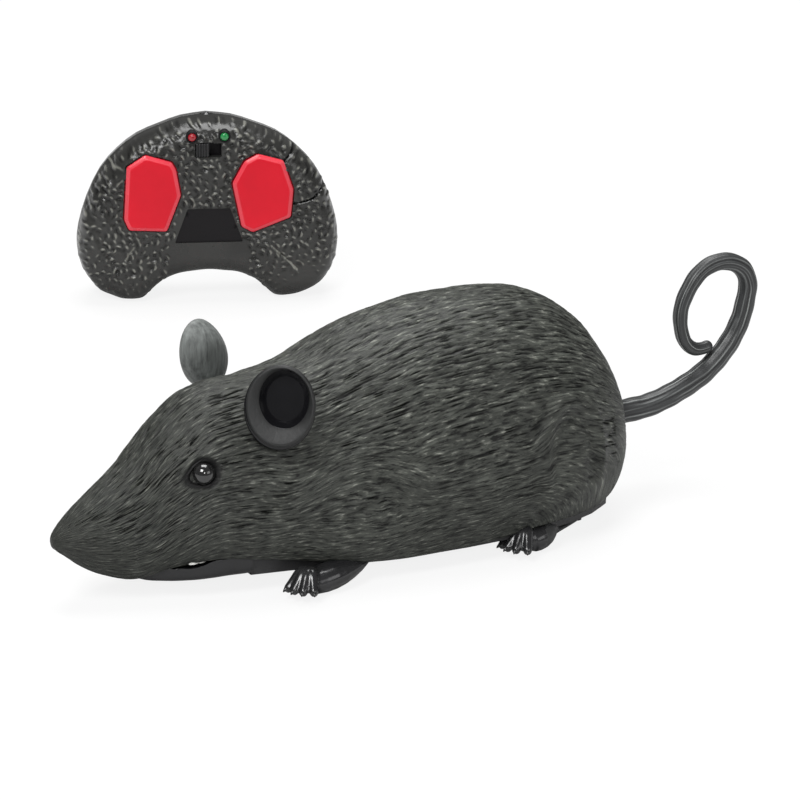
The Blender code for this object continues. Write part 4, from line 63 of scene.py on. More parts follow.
def in_handset(points):
    points = np.asarray(points, dtype=float) * MM
    c, s = math.cos(HANDSET_TURN), math.sin(HANDSET_TURN)
    turned = np.stack([points[:, 0] * c - points[:, 1] * s, points[:, 0] * s + points[:, 1] * c, points[:, 2]], -1)
    return turned + HAND_PLACE


# Numbers on curves and surfaces
def smooth_value(shares, values, share):
    last = len(shares) - 1
    i = max(0, min(last - 1, sum(1 for s in shares if s <= share) - 1))
    gap = shares[i + 1] - shares[i]
    t = (share - shares[i]) / gap
    before, after = max(i - 1, 0), min(i + 2, last)
    slope_in = (values[i + 1] - values[before]) / (shares[i + 1] - shares[before]) * gap
    slope_out = (values[after] - values[i]) / (shares[after] - shares[i]) * gap
    return ((2 * t**3 - 3 * t**2 + 1) * values[i] + (t**3 - 2 * t**2 + t) * slope_in
            + (-2 * t**3 + 3 * t**2) * values[i + 1] + (t**3 - t**2) * slope_out)


def smooth_curve(points, count):
    """Evenly spread values of a smooth curve through the points, over the points' own numbers."""
    knots = list(range(len(points)))
    places = np.linspace(0.0, len(points) - 1.0, count)
    columns = range(len(points[0]))
    return np.array([[smooth_value(knots, [p[k] for p in points], here) for k in columns] for here in places])


def resampled(curve, count, closed=False):
    """The same curve with points at even distances."""
    curve = np.asarray(curve, dtype=float)
    if closed:
        curve = np.vstack([curve, curve[:1]])
    steps = np.linalg.norm(np.diff(curve, axis=0), axis=1)
    reach = np.concatenate([[0.0], np.cumsum(steps)])
    wanted = np.linspace(0.0, reach[-1], count + 1 if closed else count)
    out = np.stack([np.interp(wanted, reach, curve[:, k]) for k in range(curve.shape[1])], -1)
    return out[:-1] if closed else out


def fade(value, start, end):
    """0 before start and 1 after end, smoothly; start may be the larger."""
    t = np.clip((value - start) / (end - start), 0.0, 1.0)
    return t * t * (3.0 - 2.0 * t)


def hump(distance, width):
    return np.exp(-(distance / width) ** 2)


NOISE_CELLS = 32


def noise(points, size, seed):
    """Smooth noise between -1 and 1 with cells of that size."""
    table = np.random.default_rng(seed).uniform(-1.0, 1.0, (NOISE_CELLS, NOISE_CELLS, NOISE_CELLS))
    places = np.asarray(points) / size
    base = np.floor(places).astype(int)
    part = places - base
    part = part * part * (3.0 - 2.0 * part)
    total = np.zeros(places.shape[:-1])
    for corner in np.ndindex(2, 2, 2):
        cell = (base + corner) % NOISE_CELLS
        total += np.where(corner, part, 1.0 - part).prod(axis=-1) * table[cell[..., 0], cell[..., 1], cell[..., 2]]
    return total


def full_turn(count):
    return np.linspace(0.0, 2.0 * math.pi, count, endpoint=False)


def at_station(x, flat):
    """A section's points, given as y and z, at a place along x."""
    return np.stack([np.full(len(flat), x), flat[:, 0], flat[:, 1]], -1)


def at_depth(flat, y):
    """A face's points, given as x and z, at a place along y."""
    return np.stack([flat[:, 0], np.full(len(flat), y), flat[:, 1]], -1)


def grid_faces(rows, columns):
    """Faces between rings that lie one after another and close on themselves."""
    i = np.arange(rows - 1)[:, None] * columns
    j = np.arange(columns)[None, :]
    k = (j + 1) % columns
    faces = np.stack([i + j, i + k, i + columns + k, i + columns + j], -1).reshape(-1, 4)
    return [tuple(face) for face in faces.tolist()]


class Form:
    """Points and faces that grow into one mesh."""

    def __init__(self):
        self.blocks, self.faces, self.count = [], [], 0

    def add(self, points, faces):
        first = self.count
        points = np.asarray(points, dtype=float).reshape(-1, 3)
        self.blocks.append(points)
        self.count += len(points)
        self.faces += [tuple(first + i for i in face) for face in faces]
        return first

    def loft(self, rings, cap_start=True, cap_end=True):
        """Skin over rings with as many points each; an end is closed by its middle point."""
        rings = np.asarray(rings, dtype=float)
        rows, columns = rings.shape[:2]
        first = self.add(rings, grid_faces(rows, columns))
        for wanted, row, turn in ((cap_start, 0, 1), (cap_end, rows - 1, -1)):
            if wanted:
                tip = self.add([rings[row].mean(axis=0)], [])
                loop = [first + row * columns + j for j in range(columns)]
                self.faces += [(tip, loop[(j + 1) % columns], loop[j])[::turn] for j in range(columns)]
        return first

    def points(self):
        return np.vstack(self.blocks)

    def piece(self, name, place, finish, smooth_angle):
        return new_piece(name, place(self.points()), self.faces, finish, smooth_angle)


def add_object(name, data):
    made = bpy.data.objects.new(name, data)
    bpy.context.scene.collection.objects.link(made)
    return made


def new_piece(name, points, faces, finish, smooth_angle):
    mesh = bpy.data.meshes.new(name)
    mesh.from_pydata([tuple(p) for p in points.tolist()], [], faces)
    mesh.update()
    mesh.polygons.foreach_set("use_smooth", np.ones(len(mesh.polygons), dtype=bool))
    mesh.set_sharp_from_angle(angle=math.radians(smooth_angle))
    mesh.materials.append(finish)
    return add_object(name, mesh)


def change_mesh(piece, change, kind, **settings):
    """Runs one of bmesh's own changes on all of a mesh's faces or verts."""
    bm = bmesh.new()
    bm.from_mesh(piece.data)
    change(bm, **{kind: getattr(bm, kind)}, **settings)
    bm.to_mesh(piece.data)
    bm.free()


def outward(piece):
    """Turns the faces so that they point out of a closed mesh."""
    change_mesh(piece, bmesh.ops.recalc_face_normals, "faces")


def weld(piece):
    change_mesh(piece, bmesh.ops.remove_doubles, "verts", dist=WELD_DISTANCE)


def second_finish(piece, finish, chosen):
    """Gives the chosen faces a material of their own."""
    piece.data.materials.append(finish)
    piece.data.polygons.foreach_set("material_index", np.asarray(chosen).astype(np.int32))


def add_values(piece, name, values):
    layer = piece.data.attributes.new(name, "FLOAT", "POINT")
    layer.data.foreach_set("value", np.asarray(values, dtype=np.float32))


def settle(piece, body, nodes=()):
    outward(piece)
    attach(piece, body)
    if nodes:
        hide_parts(*nodes)


def apply_modifiers(piece):
    graph = bpy.context.evaluated_depsgraph_get()
    mesh = bpy.data.meshes.new_from_object(piece.evaluated_get(graph))
    piece.modifiers.clear()
    piece.data = mesh


# Finishes. Each is built from the same few nodes: patchy colour, uneven gloss and a fine relief.
def start_finish(name):
    finish = bpy.data.materials.new(name)
    finish.use_nodes = True
    tree = finish.node_tree
    return finish, tree, tree.nodes["Principled BSDF"]


def link(tree, source, target):
    tree.links.new(source, target)


def add_node(tree, kind, output, inputs):
    """A shader node's output. Each input is linked to another node's output, or set to a value."""
    node = tree.nodes.new("ShaderNode" + kind)
    for name, value in inputs.items():
        if isinstance(value, bpy.types.NodeSocket):
            link(tree, value, node.inputs[name])
        else:
            node.inputs[name].default_value = value
    return node.outputs[output]


def ramp_node(tree, factor, stops):
    ramp = tree.nodes.new("ShaderNodeValToRGB")
    while len(ramp.color_ramp.elements) < len(stops):
        ramp.color_ramp.elements.new(0.5)
    for element, (place, colour) in zip(ramp.color_ramp.elements, stops):
        element.position, element.color = place, (*colour, 1.0)
    link(tree, factor, ramp.inputs["Fac"])
    return ramp.outputs["Color"]


def noise_node(tree, vector, scale, detail, roughness):
    return add_node(tree, "TexNoise", "Fac", {
        "Vector": vector, "Scale": scale, "Detail": detail, "Roughness": roughness})


def range_node(tree, value, low, high, from_low, from_high):
    return add_node(tree, "MapRange", "Result", {
        "Value": value, "From Min": from_low, "From Max": from_high, "To Min": low, "To Max": high})


def bump_node(tree, height, distance, strength=1.0, before=None):
    inputs = {"Height": height, "Distance": distance, "Strength": strength}
    if before is not None:
        inputs["Normal"] = before
    return add_node(tree, "Bump", "Normal", inputs)


def mapped(tree, vector, scale):
    return add_node(tree, "Mapping", "Vector", {"Vector": vector, "Scale": scale})


def stretched(tree, scale):
    """Object coordinates with their own scale along each axis."""
    return mapped(tree, add_node(tree, "TexCoord", "Object", {}), scale)


def multiplied(tree, colour, share):
    node = tree.nodes.new("ShaderNodeMix")
    node.data_type, node.blend_type = "RGBA", "MULTIPLY"
    node.inputs["Factor"].default_value = 1.0
    link(tree, colour, node.inputs["A"])
    link(tree, share, node.inputs["B"])
    return node.outputs["Result"]


def attribute_node(tree, name):
    node = tree.nodes.new("ShaderNodeAttribute")
    node.attribute_name = name
    return node.outputs["Fac"]


def scaled(colour, amount):
    return tuple(min(1.0, c * amount) for c in colour)


def moulded(name, colour, roughness, spread, patch, grain, relief, metallic=0.0, coat=0.0, specular=0.5,
            axes=(1.0, 1.0, 1.0)):
    """Moulded plastic, rubber or metal: slow patches of tone, a fine grain, uneven gloss."""
    finish, tree, shader = start_finish(name)
    where = stretched(tree, axes)
    patches = noise_node(tree, where, patch, 5.0, 0.6)
    tone = ramp_node(tree, patches, (
        (0.30, scaled(colour, 1.0 - spread)), (0.50, colour), (0.72, scaled(colour, 1.0 + spread))))
    link(tree, tone, shader.inputs["Base Color"])
    fine = noise_node(tree, where, grain, 3.0, 0.5)
    link(tree, range_node(tree, patches, roughness * 0.82, roughness * 1.20, 0.3, 0.7), shader.inputs["Roughness"])
    link(tree, bump_node(tree, fine, relief), shader.inputs["Normal"])
    shader.inputs["Metallic"].default_value = metallic
    shader.inputs["Specular IOR Level"].default_value = specular
    if coat:
        shader.inputs["Coat Weight"].default_value = coat
        shader.inputs["Coat Roughness"].default_value = 0.12
    return finish


def furred(name, colour, roughness):
    """The shell's plastic: painted shade in the grooves and a painted highlight paler on the ridges, with fine strands
    between.
    """
    finish, tree, shader = start_finish(name)
    shader.inputs["Specular IOR Level"].default_value = 0.26
    # the attribute read here paints shade into the grooves and a highlight onto the ridges
    tone = ramp_node(tree, attribute_node(tree, "shade_highlight"), (
        (0.05, scaled(colour, 0.12)), (0.34, scaled(colour, 0.66)), (0.56, colour), (0.86, scaled(colour, 2.2))))
    where = stretched(tree, (1.0, 1.0, 1.0))
    patches = noise_node(tree, where, 60.0, 5.0, 0.6)
    tone = multiplied(tree, tone, ramp_node(tree, patches, ((0.30, (0.84, 0.84, 0.83)), (0.70, (1.14, 1.14, 1.12)))))
    # strands run along the moulded ones, because their coordinates follow the same flow; their pale hairlines are
    # painted highlights and their darkest dashes painted shade
    strands = tree.nodes.new("ShaderNodeUVMap")
    strands.uv_map = "strands"
    fine = noise_node(tree, mapped(tree, strands.outputs["UV"], (0.24, 1.35, 1.0)), 1.0, 3.0, 0.6)
    tone = multiplied(tree, tone, ramp_node(tree, fine, (
        (0.36, (0.16, 0.16, 0.16)), (0.45, (0.82, 0.82, 0.82)), (0.58, (1.08, 1.08, 1.06)), (0.68, (3.2, 3.1, 3.1)))))
    # near black where shade is painted: the eye socket, the ear's foot, the tail's root and the shell's inside
    painted_shade = tree.nodes.new("ShaderNodeMix")
    painted_shade.data_type = "RGBA"
    link(tree, attribute_node(tree, "painted_shade"), painted_shade.inputs["Factor"])
    link(tree, tone, painted_shade.inputs["A"])
    painted_shade.inputs["B"].default_value = (0.010, 0.010, 0.010, 1.0)
    link(tree, painted_shade.outputs["Result"], shader.inputs["Base Color"])
    normal = bump_node(tree, fine, 0.00042)
    normal = bump_node(tree, noise_node(tree, where, 1900.0, 2.0, 0.5), 0.00004, 0.7, normal)
    link(tree, normal, shader.inputs["Normal"])
    link(tree, range_node(tree, fine, roughness * 0.85, roughness * 1.15, 0.3, 0.7), shader.inputs["Roughness"])
    return finish


def pitted(name, colour, roughness):
    """Plastic with a raised grain or grooves: painted shade makes the low parts black and a painted highlight makes the
    high ones paler.
    """
    finish = moulded(name, colour, roughness, 0.30, 70.0, 1500.0, 0.00005)
    tree = finish.node_tree
    base = tree.nodes["Principled BSDF"].inputs["Base Color"]
    # the ramp paints shade into the low parts and a bright highlight onto the highest
    shade_highlight_tone = ramp_node(tree, attribute_node(tree, "shade_highlight"), (
        (0.12, (0.10, 0.10, 0.10)), (0.42, (0.85, 0.85, 0.85)), (0.55, (1.0, 1.0, 1.0)), (0.80, (6.5, 6.5, 6.2))))
    link(tree, multiplied(tree, base.links[0].from_socket, shade_highlight_tone), base)
    return finish


# name, colour, roughness, spread of tone, then the sizes of patches and grain (per metre) and the grain's relief
FUR = furred("dark_fur_plastic", (0.0490, 0.0520, 0.0465), 0.46)
EAR_OUTSIDE = moulded("ear_outside", (0.0090, 0.0095, 0.0095), 0.54, 0.35, 260.0, 1500.0, 0.00012,
                      axes=(1.0, 1.0, 0.18))
# the far ear's back is painted far paler than the near ear's outside, as painted light
EAR_BACK_PAINTED_LIGHT = moulded("ear_back_grain_painted_lit", (0.155, 0.166, 0.160), 0.52, 0.50, 700.0, 1500.0, 0.00012,
                   axes=(1.0, 1.0, 0.12))
EAR_BOWL = moulded("ear_bowl_gloss", (0.006, 0.006, 0.007), 0.18, 0.15, 60.0, 900.0, 0.00001, specular=0.35)
PAW_BLACK = moulded("gloss_black_plastic", (0.015, 0.015, 0.016), 0.22, 0.20, 150.0, 700.0, 0.00004, coat=0.3)
# satin plastic, rougher than the gloss black, and painted paler for its sheen
PAW_SATIN_SHEEN = moulded("satin_paw_plastic_painted_sheen", (0.034, 0.035, 0.035), 0.42, 0.30, 150.0, 900.0, 0.00005)
JAW_BLACK = moulded("satin_black_plastic", (0.013, 0.013, 0.014), 0.36, 0.25, 80.0, 1400.0, 0.00003)
TOOTH_WHITE = moulded("white_plastic", (0.78, 0.78, 0.74), 0.32, 0.08, 200.0, 1200.0, 0.00002)
TAIL_GREY = pitted("dark_soft_vinyl", (0.040, 0.042, 0.043), 0.42)
CHASSIS_BLACK = moulded("black_plastic", (0.022, 0.022, 0.023), 0.46, 0.22, 70.0, 2200.0, 0.00004)
GEAR_WHITE = moulded("natural_nylon", (0.70, 0.70, 0.64), 0.42, 0.07, 160.0, 1800.0, 0.00002)
STEEL = moulded("bright_steel", (0.56, 0.57, 0.58), 0.30, 0.10, 300.0, 2400.0, 0.00002, metallic=1.0,
                axes=(1.0, 8.0, 8.0))
MOTOR_STEEL = moulded("motor_can_steel", (0.50, 0.50, 0.49), 0.36, 0.12, 120.0, 2000.0, 0.00002, metallic=1.0)
SPRING_METAL = moulded("nickel_plate", (0.62, 0.62, 0.59), 0.32, 0.10, 220.0, 2200.0, 0.00002, metallic=1.0)
RUBBER = moulded("black_rubber", (0.020, 0.020, 0.020), 0.78, 0.25, 120.0, 1600.0, 0.00008)
BOARD_GREEN = moulded("circuit_board", (0.026, 0.130, 0.060), 0.42, 0.25, 420.0, 1500.0, 0.00004)
CELL_SLEEVE = moulded("cell_sleeve", (0.040, 0.120, 0.300), 0.30, 0.10, 90.0, 1500.0, 0.00002, coat=0.3)
BUTTON_RED = moulded("red_plastic", (0.680, 0.009, 0.024), 0.40, 0.07, 45.0, 3000.0, 0.00003, specular=0.25)
# a paler red for the buttons' bevels, painted as their highlight
BUTTON_BEVEL_HIGHLIGHT = moulded("red_edge_painted_highlight", (0.760, 0.045, 0.070), 0.26, 0.08, 60.0, 3000.0, 0.00002)
HANDSET_GREY = moulded("handset_plastic", (0.034, 0.034, 0.032), 0.25, 0.30, 70.0, 1500.0, 0.00005)
HANDSET_PITTED = pitted("handset_pitted_plastic", (0.028, 0.028, 0.026), 0.27)
PANEL_GREY = moulded("handset_panel", (0.009, 0.008, 0.009), 0.50, 0.12, 60.0, 2600.0, 0.00003, specular=0.2)
LAMP_RED = moulded("red_lamp", (0.340, 0.014, 0.022), 0.12, 0.20, 500.0, 900.0, 0.00002, coat=0.5)
LAMP_GREEN = moulded("green_lamp", (0.020, 0.260, 0.070), 0.12, 0.20, 500.0, 900.0, 0.00002, coat=0.5)
PAD_GREY = moulded("grey_silicone", (0.280, 0.280, 0.280), 0.62, 0.10, 90.0, 1500.0, 0.00004)
EYE_BLACK = moulded("eye_bead", (0.010, 0.010, 0.010), 0.08, 0.20, 200.0, 500.0, 0.000004, coat=0.8)


# The rat's body
BODY_LENGTH, BODY_WIDTH, BODY_CROWN, SHELL_WALL = 211.0, 82.0, 82.0, 2.0
# along, half width, top and bottom of each section as shares, and how round it is below
BODY_SHARES = (
    (0.000, 0.000, 0.262, 0.262, 1.0), (0.014, 0.062, 0.322, 0.221, 1.0), (0.040, 0.106, 0.382, 0.164, 1.0),
    (0.080, 0.146, 0.456, 0.112, 0.9), (0.130, 0.192, 0.555, 0.096, 0.6), (0.180, 0.242, 0.685, 0.138, 0.3),
    (0.235, 0.290, 0.788, 0.172, 0.0), (0.290, 0.328, 0.820, 0.158, 0.0), (0.350, 0.364, 0.824, 0.136, 0.0),
    (0.420, 0.408, 0.842, 0.108, 0.0), (0.500, 0.452, 0.918, 0.086, 0.0), (0.590, 0.486, 0.982, 0.086, 0.0),
    (0.680, 0.500, 1.000, 0.094, 0.0), (0.770, 0.496, 0.994, 0.114, 0.0), (0.850, 0.456, 0.946, 0.116, 0.0),
    (0.920, 0.372, 0.822, 0.114, 0.1), (0.970, 0.256, 0.640, 0.158, 0.4), (1.000, 0.000, 0.348, 0.348, 1.0),
)
WAIST_SHARE, TUCK_SHARE, ARCH_SHARE, CURL_SHARE = 0.20, 0.10, 0.92, 0.93
CAVITY_START_SHARE, CAVITY_END_SHARE = 0.11, 0.93
BODY_ROWS, BODY_COLUMNS, INSIDE_COLUMNS = 198, 474, 14


def turn_share(along):
    return math.acos(1.0 - 2.0 * min(max(along, 0.0), 1.0)) / math.pi


BODY_TURNS = [turn_share(row[0]) for row in BODY_SHARES]


def body_station(along):
    turn = turn_share(along)
    half, crown, low, roundness = (smooth_value(BODY_TURNS, [row[i] for row in BODY_SHARES], turn) for i in range(1, 5))
    return max(half, 0.0) * BODY_WIDTH, crown * BODY_CROWN, low * BODY_CROWN, min(max(roundness, 0.0), 1.0)


def body_half_ring(along, inset, floor, steps):
    """The near half of a section, from its lower edge to the top, as (out, up)."""
    half, crown, low, roundness = body_station(along)
    waist = low + (crown - low) * (WAIST_SHARE + 0.3 * roundness)
    width, top = max(half - inset, 0.0), crown - inset
    heights = np.linspace(floor, waist, steps)
    depth = np.minimum((waist - heights) / max(waist - low, SHELL_WALL), 1.0)
    upright = 1.0 - TUCK_SHARE * depth**2
    curved = np.sqrt(1.0 - (CURL_SHARE * depth) ** 2)
    side = np.stack([width * ((1.0 - roundness) * upright + roundness * curved), heights], -1)
    turns = np.linspace(0.0, math.pi / 2.0, 4 * steps)[1:]
    arch = np.stack([width * np.cos(turns), waist + (top - waist) * np.sin(turns) ** ARCH_SHARE], -1)
    return np.vstack([side, arch])


def body_side(x, z):
    half, crown, low, roundness = body_station(x / BODY_LENGTH)
    waist = low + (crown - low) * (WAIST_SHARE + 0.3 * roundness)
    rise = min(max((z - waist) / (crown - waist), 0.0), 1.0) ** (1.0 / ARCH_SHARE)
    return half * math.sqrt(1.0 - rise**2)


def ring_line(along, inset, floor, count):
    """A whole section from the near lower edge over the top to the far one, evenly spread."""
    near = body_half_ring(along, inset, floor, 40)
    loop = np.vstack([near * (-1.0, 1.0), near[-2::-1]])
    return at_station(along * BODY_LENGTH, resampled(loop, count))


# samples along the body, how densely its sections are looked up, and how near the first and last row come to its ends
LINE_SAMPLES, SECTION_STEP, ROW_MARGIN = 3000, 10, 0.0012
# where rows stand closer: x, how far round it, and by how much more
DENSER = ((45.5, 7.5, 1.4), (76.0, 12.0, 0.5), (3.0, 8.0, 1.2))


def body_rows():
    """Shares along the body: denser at both ends, round the eyes and round the ears."""
    fine = np.linspace(0.0, 1.0, LINE_SAMPLES)
    coarse = fine[::SECTION_STEP]
    halves, crowns = np.array([body_station(share)[:2] for share in coarse]).T
    halves, crowns = (np.interp(fine, coarse, values) * 0.9 for values in (halves, crowns))
    line = np.stack([fine * BODY_LENGTH, halves, crowns], -1)
    steps = np.linalg.norm(np.diff(line, axis=0), axis=1)
    x = fine[1:] * BODY_LENGTH
    steps = steps * (1.0 + sum(more * hump(x - middle, width) for middle, width, more in DENSER))
    reach = np.concatenate([[0.0], np.cumsum(steps)])
    wanted = np.linspace(reach[-1] * ROW_MARGIN, reach[-1] * (1.0 - ROW_MARGIN), BODY_ROWS)
    return np.interp(wanted, reach, fine)


def unit(vector):
    vector = np.asarray(vector, dtype=float)
    return vector / np.linalg.norm(vector)


# The side that the camera sees has negative y. What is given for it is mirrored for the other side.
SIDES = (("left", 1.0), ("right", -1.0))
EYE_X, EYE_Z, EYE_RADIUS, EYE_SINK = 46.5, 44.0, 3.7, 1.5
EYE_CENTRE = np.array([EYE_X, -(body_side(EYE_X, EYE_Z) - EYE_SINK), EYE_Z])
EYE_WAY, EYE_LONG_WAY = unit([-0.25, -0.92, 0.30]), unit([-0.93, 0.20, -0.32])
EAR_CENTRE = np.array([72.0, -25.5, 65.5])
EAR_WIDTH, EAR_HEIGHT, EAR_DEPTH = 23.0, 27.0, 8.0
EAR_FACING = unit([-0.55, -0.75, 0.30])
EAR_LEAN = unit([0.10, 0.52, -0.85])
EAR_FOOT = EAR_CENTRE + EAR_LEAN * 4.0 - EAR_FACING * 1.5
TAIL_Z = 28.0
SHOULDER_X, SHOULDER_Z = 97.7, 25.4
HAUNCH_X, HAUNCH_Z, HAUNCH_RADIUS, HAUNCH_NARROW = 176.0, 35.0, 15.5, 0.80


def surface_way(points):
    """Outward directions of a grid of points."""
    along = np.gradient(points, axis=0)
    around = np.gradient(points, axis=1)
    normal = np.cross(around, along)
    return normal / np.maximum(np.linalg.norm(normal, axis=-1, keepdims=True), 1e-9)


STREAK_STEP = 0.55


def streaks(angle, row_step, column_step, seed, reach, blur):
    """Random tone drawn out along a field of directions, as moulded strands are, about -1 to 1."""
    rows, columns = angle.shape
    grain = np.random.default_rng(seed).normal(0.0, 1.0, (rows, columns))
    for _ in range(blur):
        grain[:, 1:-1] = (grain[:, :-2] + 2.0 * grain[:, 1:-1] + grain[:, 2:]) / 4.0
    start_row, start_column = np.indices((rows, columns)).astype(float)
    total = grain.copy()
    weight_sum = 1.0
    count = int(reach / STREAK_STEP)
    for sign in (-1.0, 1.0):
        row, column = start_row.copy(), start_column.copy()
        for k in range(1, count + 1):
            i = np.clip(np.rint(row).astype(int), 0, rows - 1)
            j = np.clip(np.rint(column).astype(int), 0, columns - 1)
            here = angle[i, j]
            row = np.clip(row + sign * STREAK_STEP * np.cos(here) / row_step[i, j], 0.0, rows - 1.001)
            column = np.clip(column + sign * STREAK_STEP * np.sin(here) / column_step[i, j], 0.0, columns - 1.001)
            i, j = row.astype(int), column.astype(int)
            a, b = row - i, column - j
            sample = (grain[i, j] * (1 - a) * (1 - b) + grain[i + 1, j] * a * (1 - b)
                      + grain[i, j + 1] * (1 - a) * b + grain[i + 1, j + 1] * a * b)
            weight = math.cos(0.5 * math.pi * k / (count + 1)) ** 2
            total += weight * sample
            if sign > 0.0:
                weight_sum += 2.0 * weight
    total /= weight_sum
    return total / (2.2 * total.std())


def flow_coordinate(row_part, column_part):
    """A smooth value over the grid whose steps come as close as they can to the wanted ones."""
    rows, columns = row_part.shape
    down = (row_part[1:] + row_part[:-1]) / 2.0
    over = (column_part[:, 1:] + column_part[:, :-1]) / 2.0
    spread_out = np.zeros((rows, columns))
    spread_out[:-1] += down
    spread_out[1:] -= down
    spread_out[:, :-1] += over
    spread_out[:, 1:] -= over
    mirrored = np.vstack([spread_out, spread_out[::-1]])
    mirrored = np.hstack([mirrored, mirrored[:, ::-1]])
    slow = 2.0 * np.cos(math.pi * np.arange(2 * rows) / rows) - 2.0
    fast = 2.0 * np.cos(math.pi * np.arange(2 * columns) / columns) - 2.0
    weights = slow[:, None] + fast[None, :]
    weights[0, 0] = 1.0
    waves = np.fft.fft2(mirrored) / weights
    waves[0, 0] = 0.0
    return np.fft.ifft2(waves).real[:rows, :columns]


def turned(angle, amount, dx, dz):
    """The slope led along circles round a point, over its top: up before it and down behind it."""
    turn = np.arctan2(dz, dx) - math.pi / 2.0
    turn = np.where(turn < -math.pi, turn + 2.0 * math.pi, turn)
    return angle * (1.0 - amount) + amount * np.clip(turn, -1.4, 1.4)


def fur_angle(points):
    """The strands' slope against the rows, upwards on both sides, in radians."""
    x, out, z = points[..., 0], np.abs(points[..., 1]), points[..., 2]
    angle = 0.16 * noise(points, 9.0, 11) + 0.12 * noise(points, 4.0, 12)
    side = fade(out, 6.0, 22.0)
    # in arcs over the shoulder
    dx, dz = x - SHOULDER_X, z - SHOULDER_Z
    distance = np.hypot(dx, dz)
    near = fade(distance, 30.0, 19.0) * fade(distance, 6.0, 15.0) * fade(dz, -2.0, 12.0) * side
    angle = turned(angle, 0.75 * near, dx, dz)
    # along the haunch's rolled edge
    dx, dz = (x - HAUNCH_X) / HAUNCH_NARROW, z - HAUNCH_Z
    near = hump(np.hypot(dx, dz) - HAUNCH_RADIUS, 5.0) * fade(dz, -14.0, 4.0) * fade(dx, 16.0, 2.0) * side
    angle = turned(angle, 0.80 * near, dx, dz)
    # straight down at the rump's lower edge
    near = fade(x, 146.0, 170.0) * fade(z, 27.0, 14.0) * side
    return angle * (1.0 - near) - 1.3 * near


def from_line(points, foot, way):
    """Offsets square to a line, and its mirror image, on both sides of the body."""
    mirrored = points * np.where(points[..., 1:2] > 0.0, [1.0, -1.0, 1.0], [1.0, 1.0, 1.0])
    offset = mirrored - foot
    return offset - (offset @ way)[..., None] * way


def eye_distance(points):
    """Distance from the eye's middle in the skin's plane, drawn out towards the nose for the corner."""
    flat = from_line(points, EYE_CENTRE, EYE_WAY)
    along = flat @ EYE_LONG_WAY
    rest = np.linalg.norm(flat - along[..., None] * EYE_LONG_WAY, axis=-1)
    drawn = np.where(along > 0.0, along / 1.38, along / 1.04)
    return np.hypot(drawn, rest * np.where(along > 0.0, 1.0 + 0.05 * along, 1.0))


def ear_distance(points):
    """Distance from the line on which the ear stands in the head."""
    return np.linalg.norm(from_line(points, EAR_FOOT, EAR_LEAN), axis=-1)


# Swells and hollows of the skin: x and how far it is stretched, z and the same, width, height in mm
FLANK_SWELLS = (
    (124.0, 1.5, 24.0, 1.0, 10.0, -1.2),  # behind the shoulder
    (80.0, 1.0, 22.0, 1.6, 7.0, -0.6),  # before the shoulder
    (177.0, 1.0, 20.0, 1.0, 9.0, 0.7),  # thigh
    (50.0, 1.0, 52.0, 1.0, 6.0, 0.7),  # brow
)
SNOUT_SWELLS = (
    (24.0, 1.0, 10.5, 0.7, 6.0, 0.8),  # lips
    (8.5, 1.0, 16.0, 1.0, 2.4, -0.7),  # the step under the nose
    (3.0, 1.0, 21.5, 1.0, 2.6, 0.35),  # nose
)
# Calmer skin with shallower strands: the same, with the share that is lost in place of the height
CALM_SPOTS = (
    (58.0, 1.8, 16.0, 1.0, 10.0, 0.55),  # cheek
    (104.0, 1.2, 11.0, 1.0, 9.0, 0.55),  # armpit
    (135.0, 2.2, 20.0, 1.0, 11.0, 0.35),  # low flank
)


def spot(x, z, row):
    middle_x, wide, middle_z, tall, width, amount = row
    return amount * hump(np.hypot((x - middle_x) / wide, (z - middle_z) / tall), width)


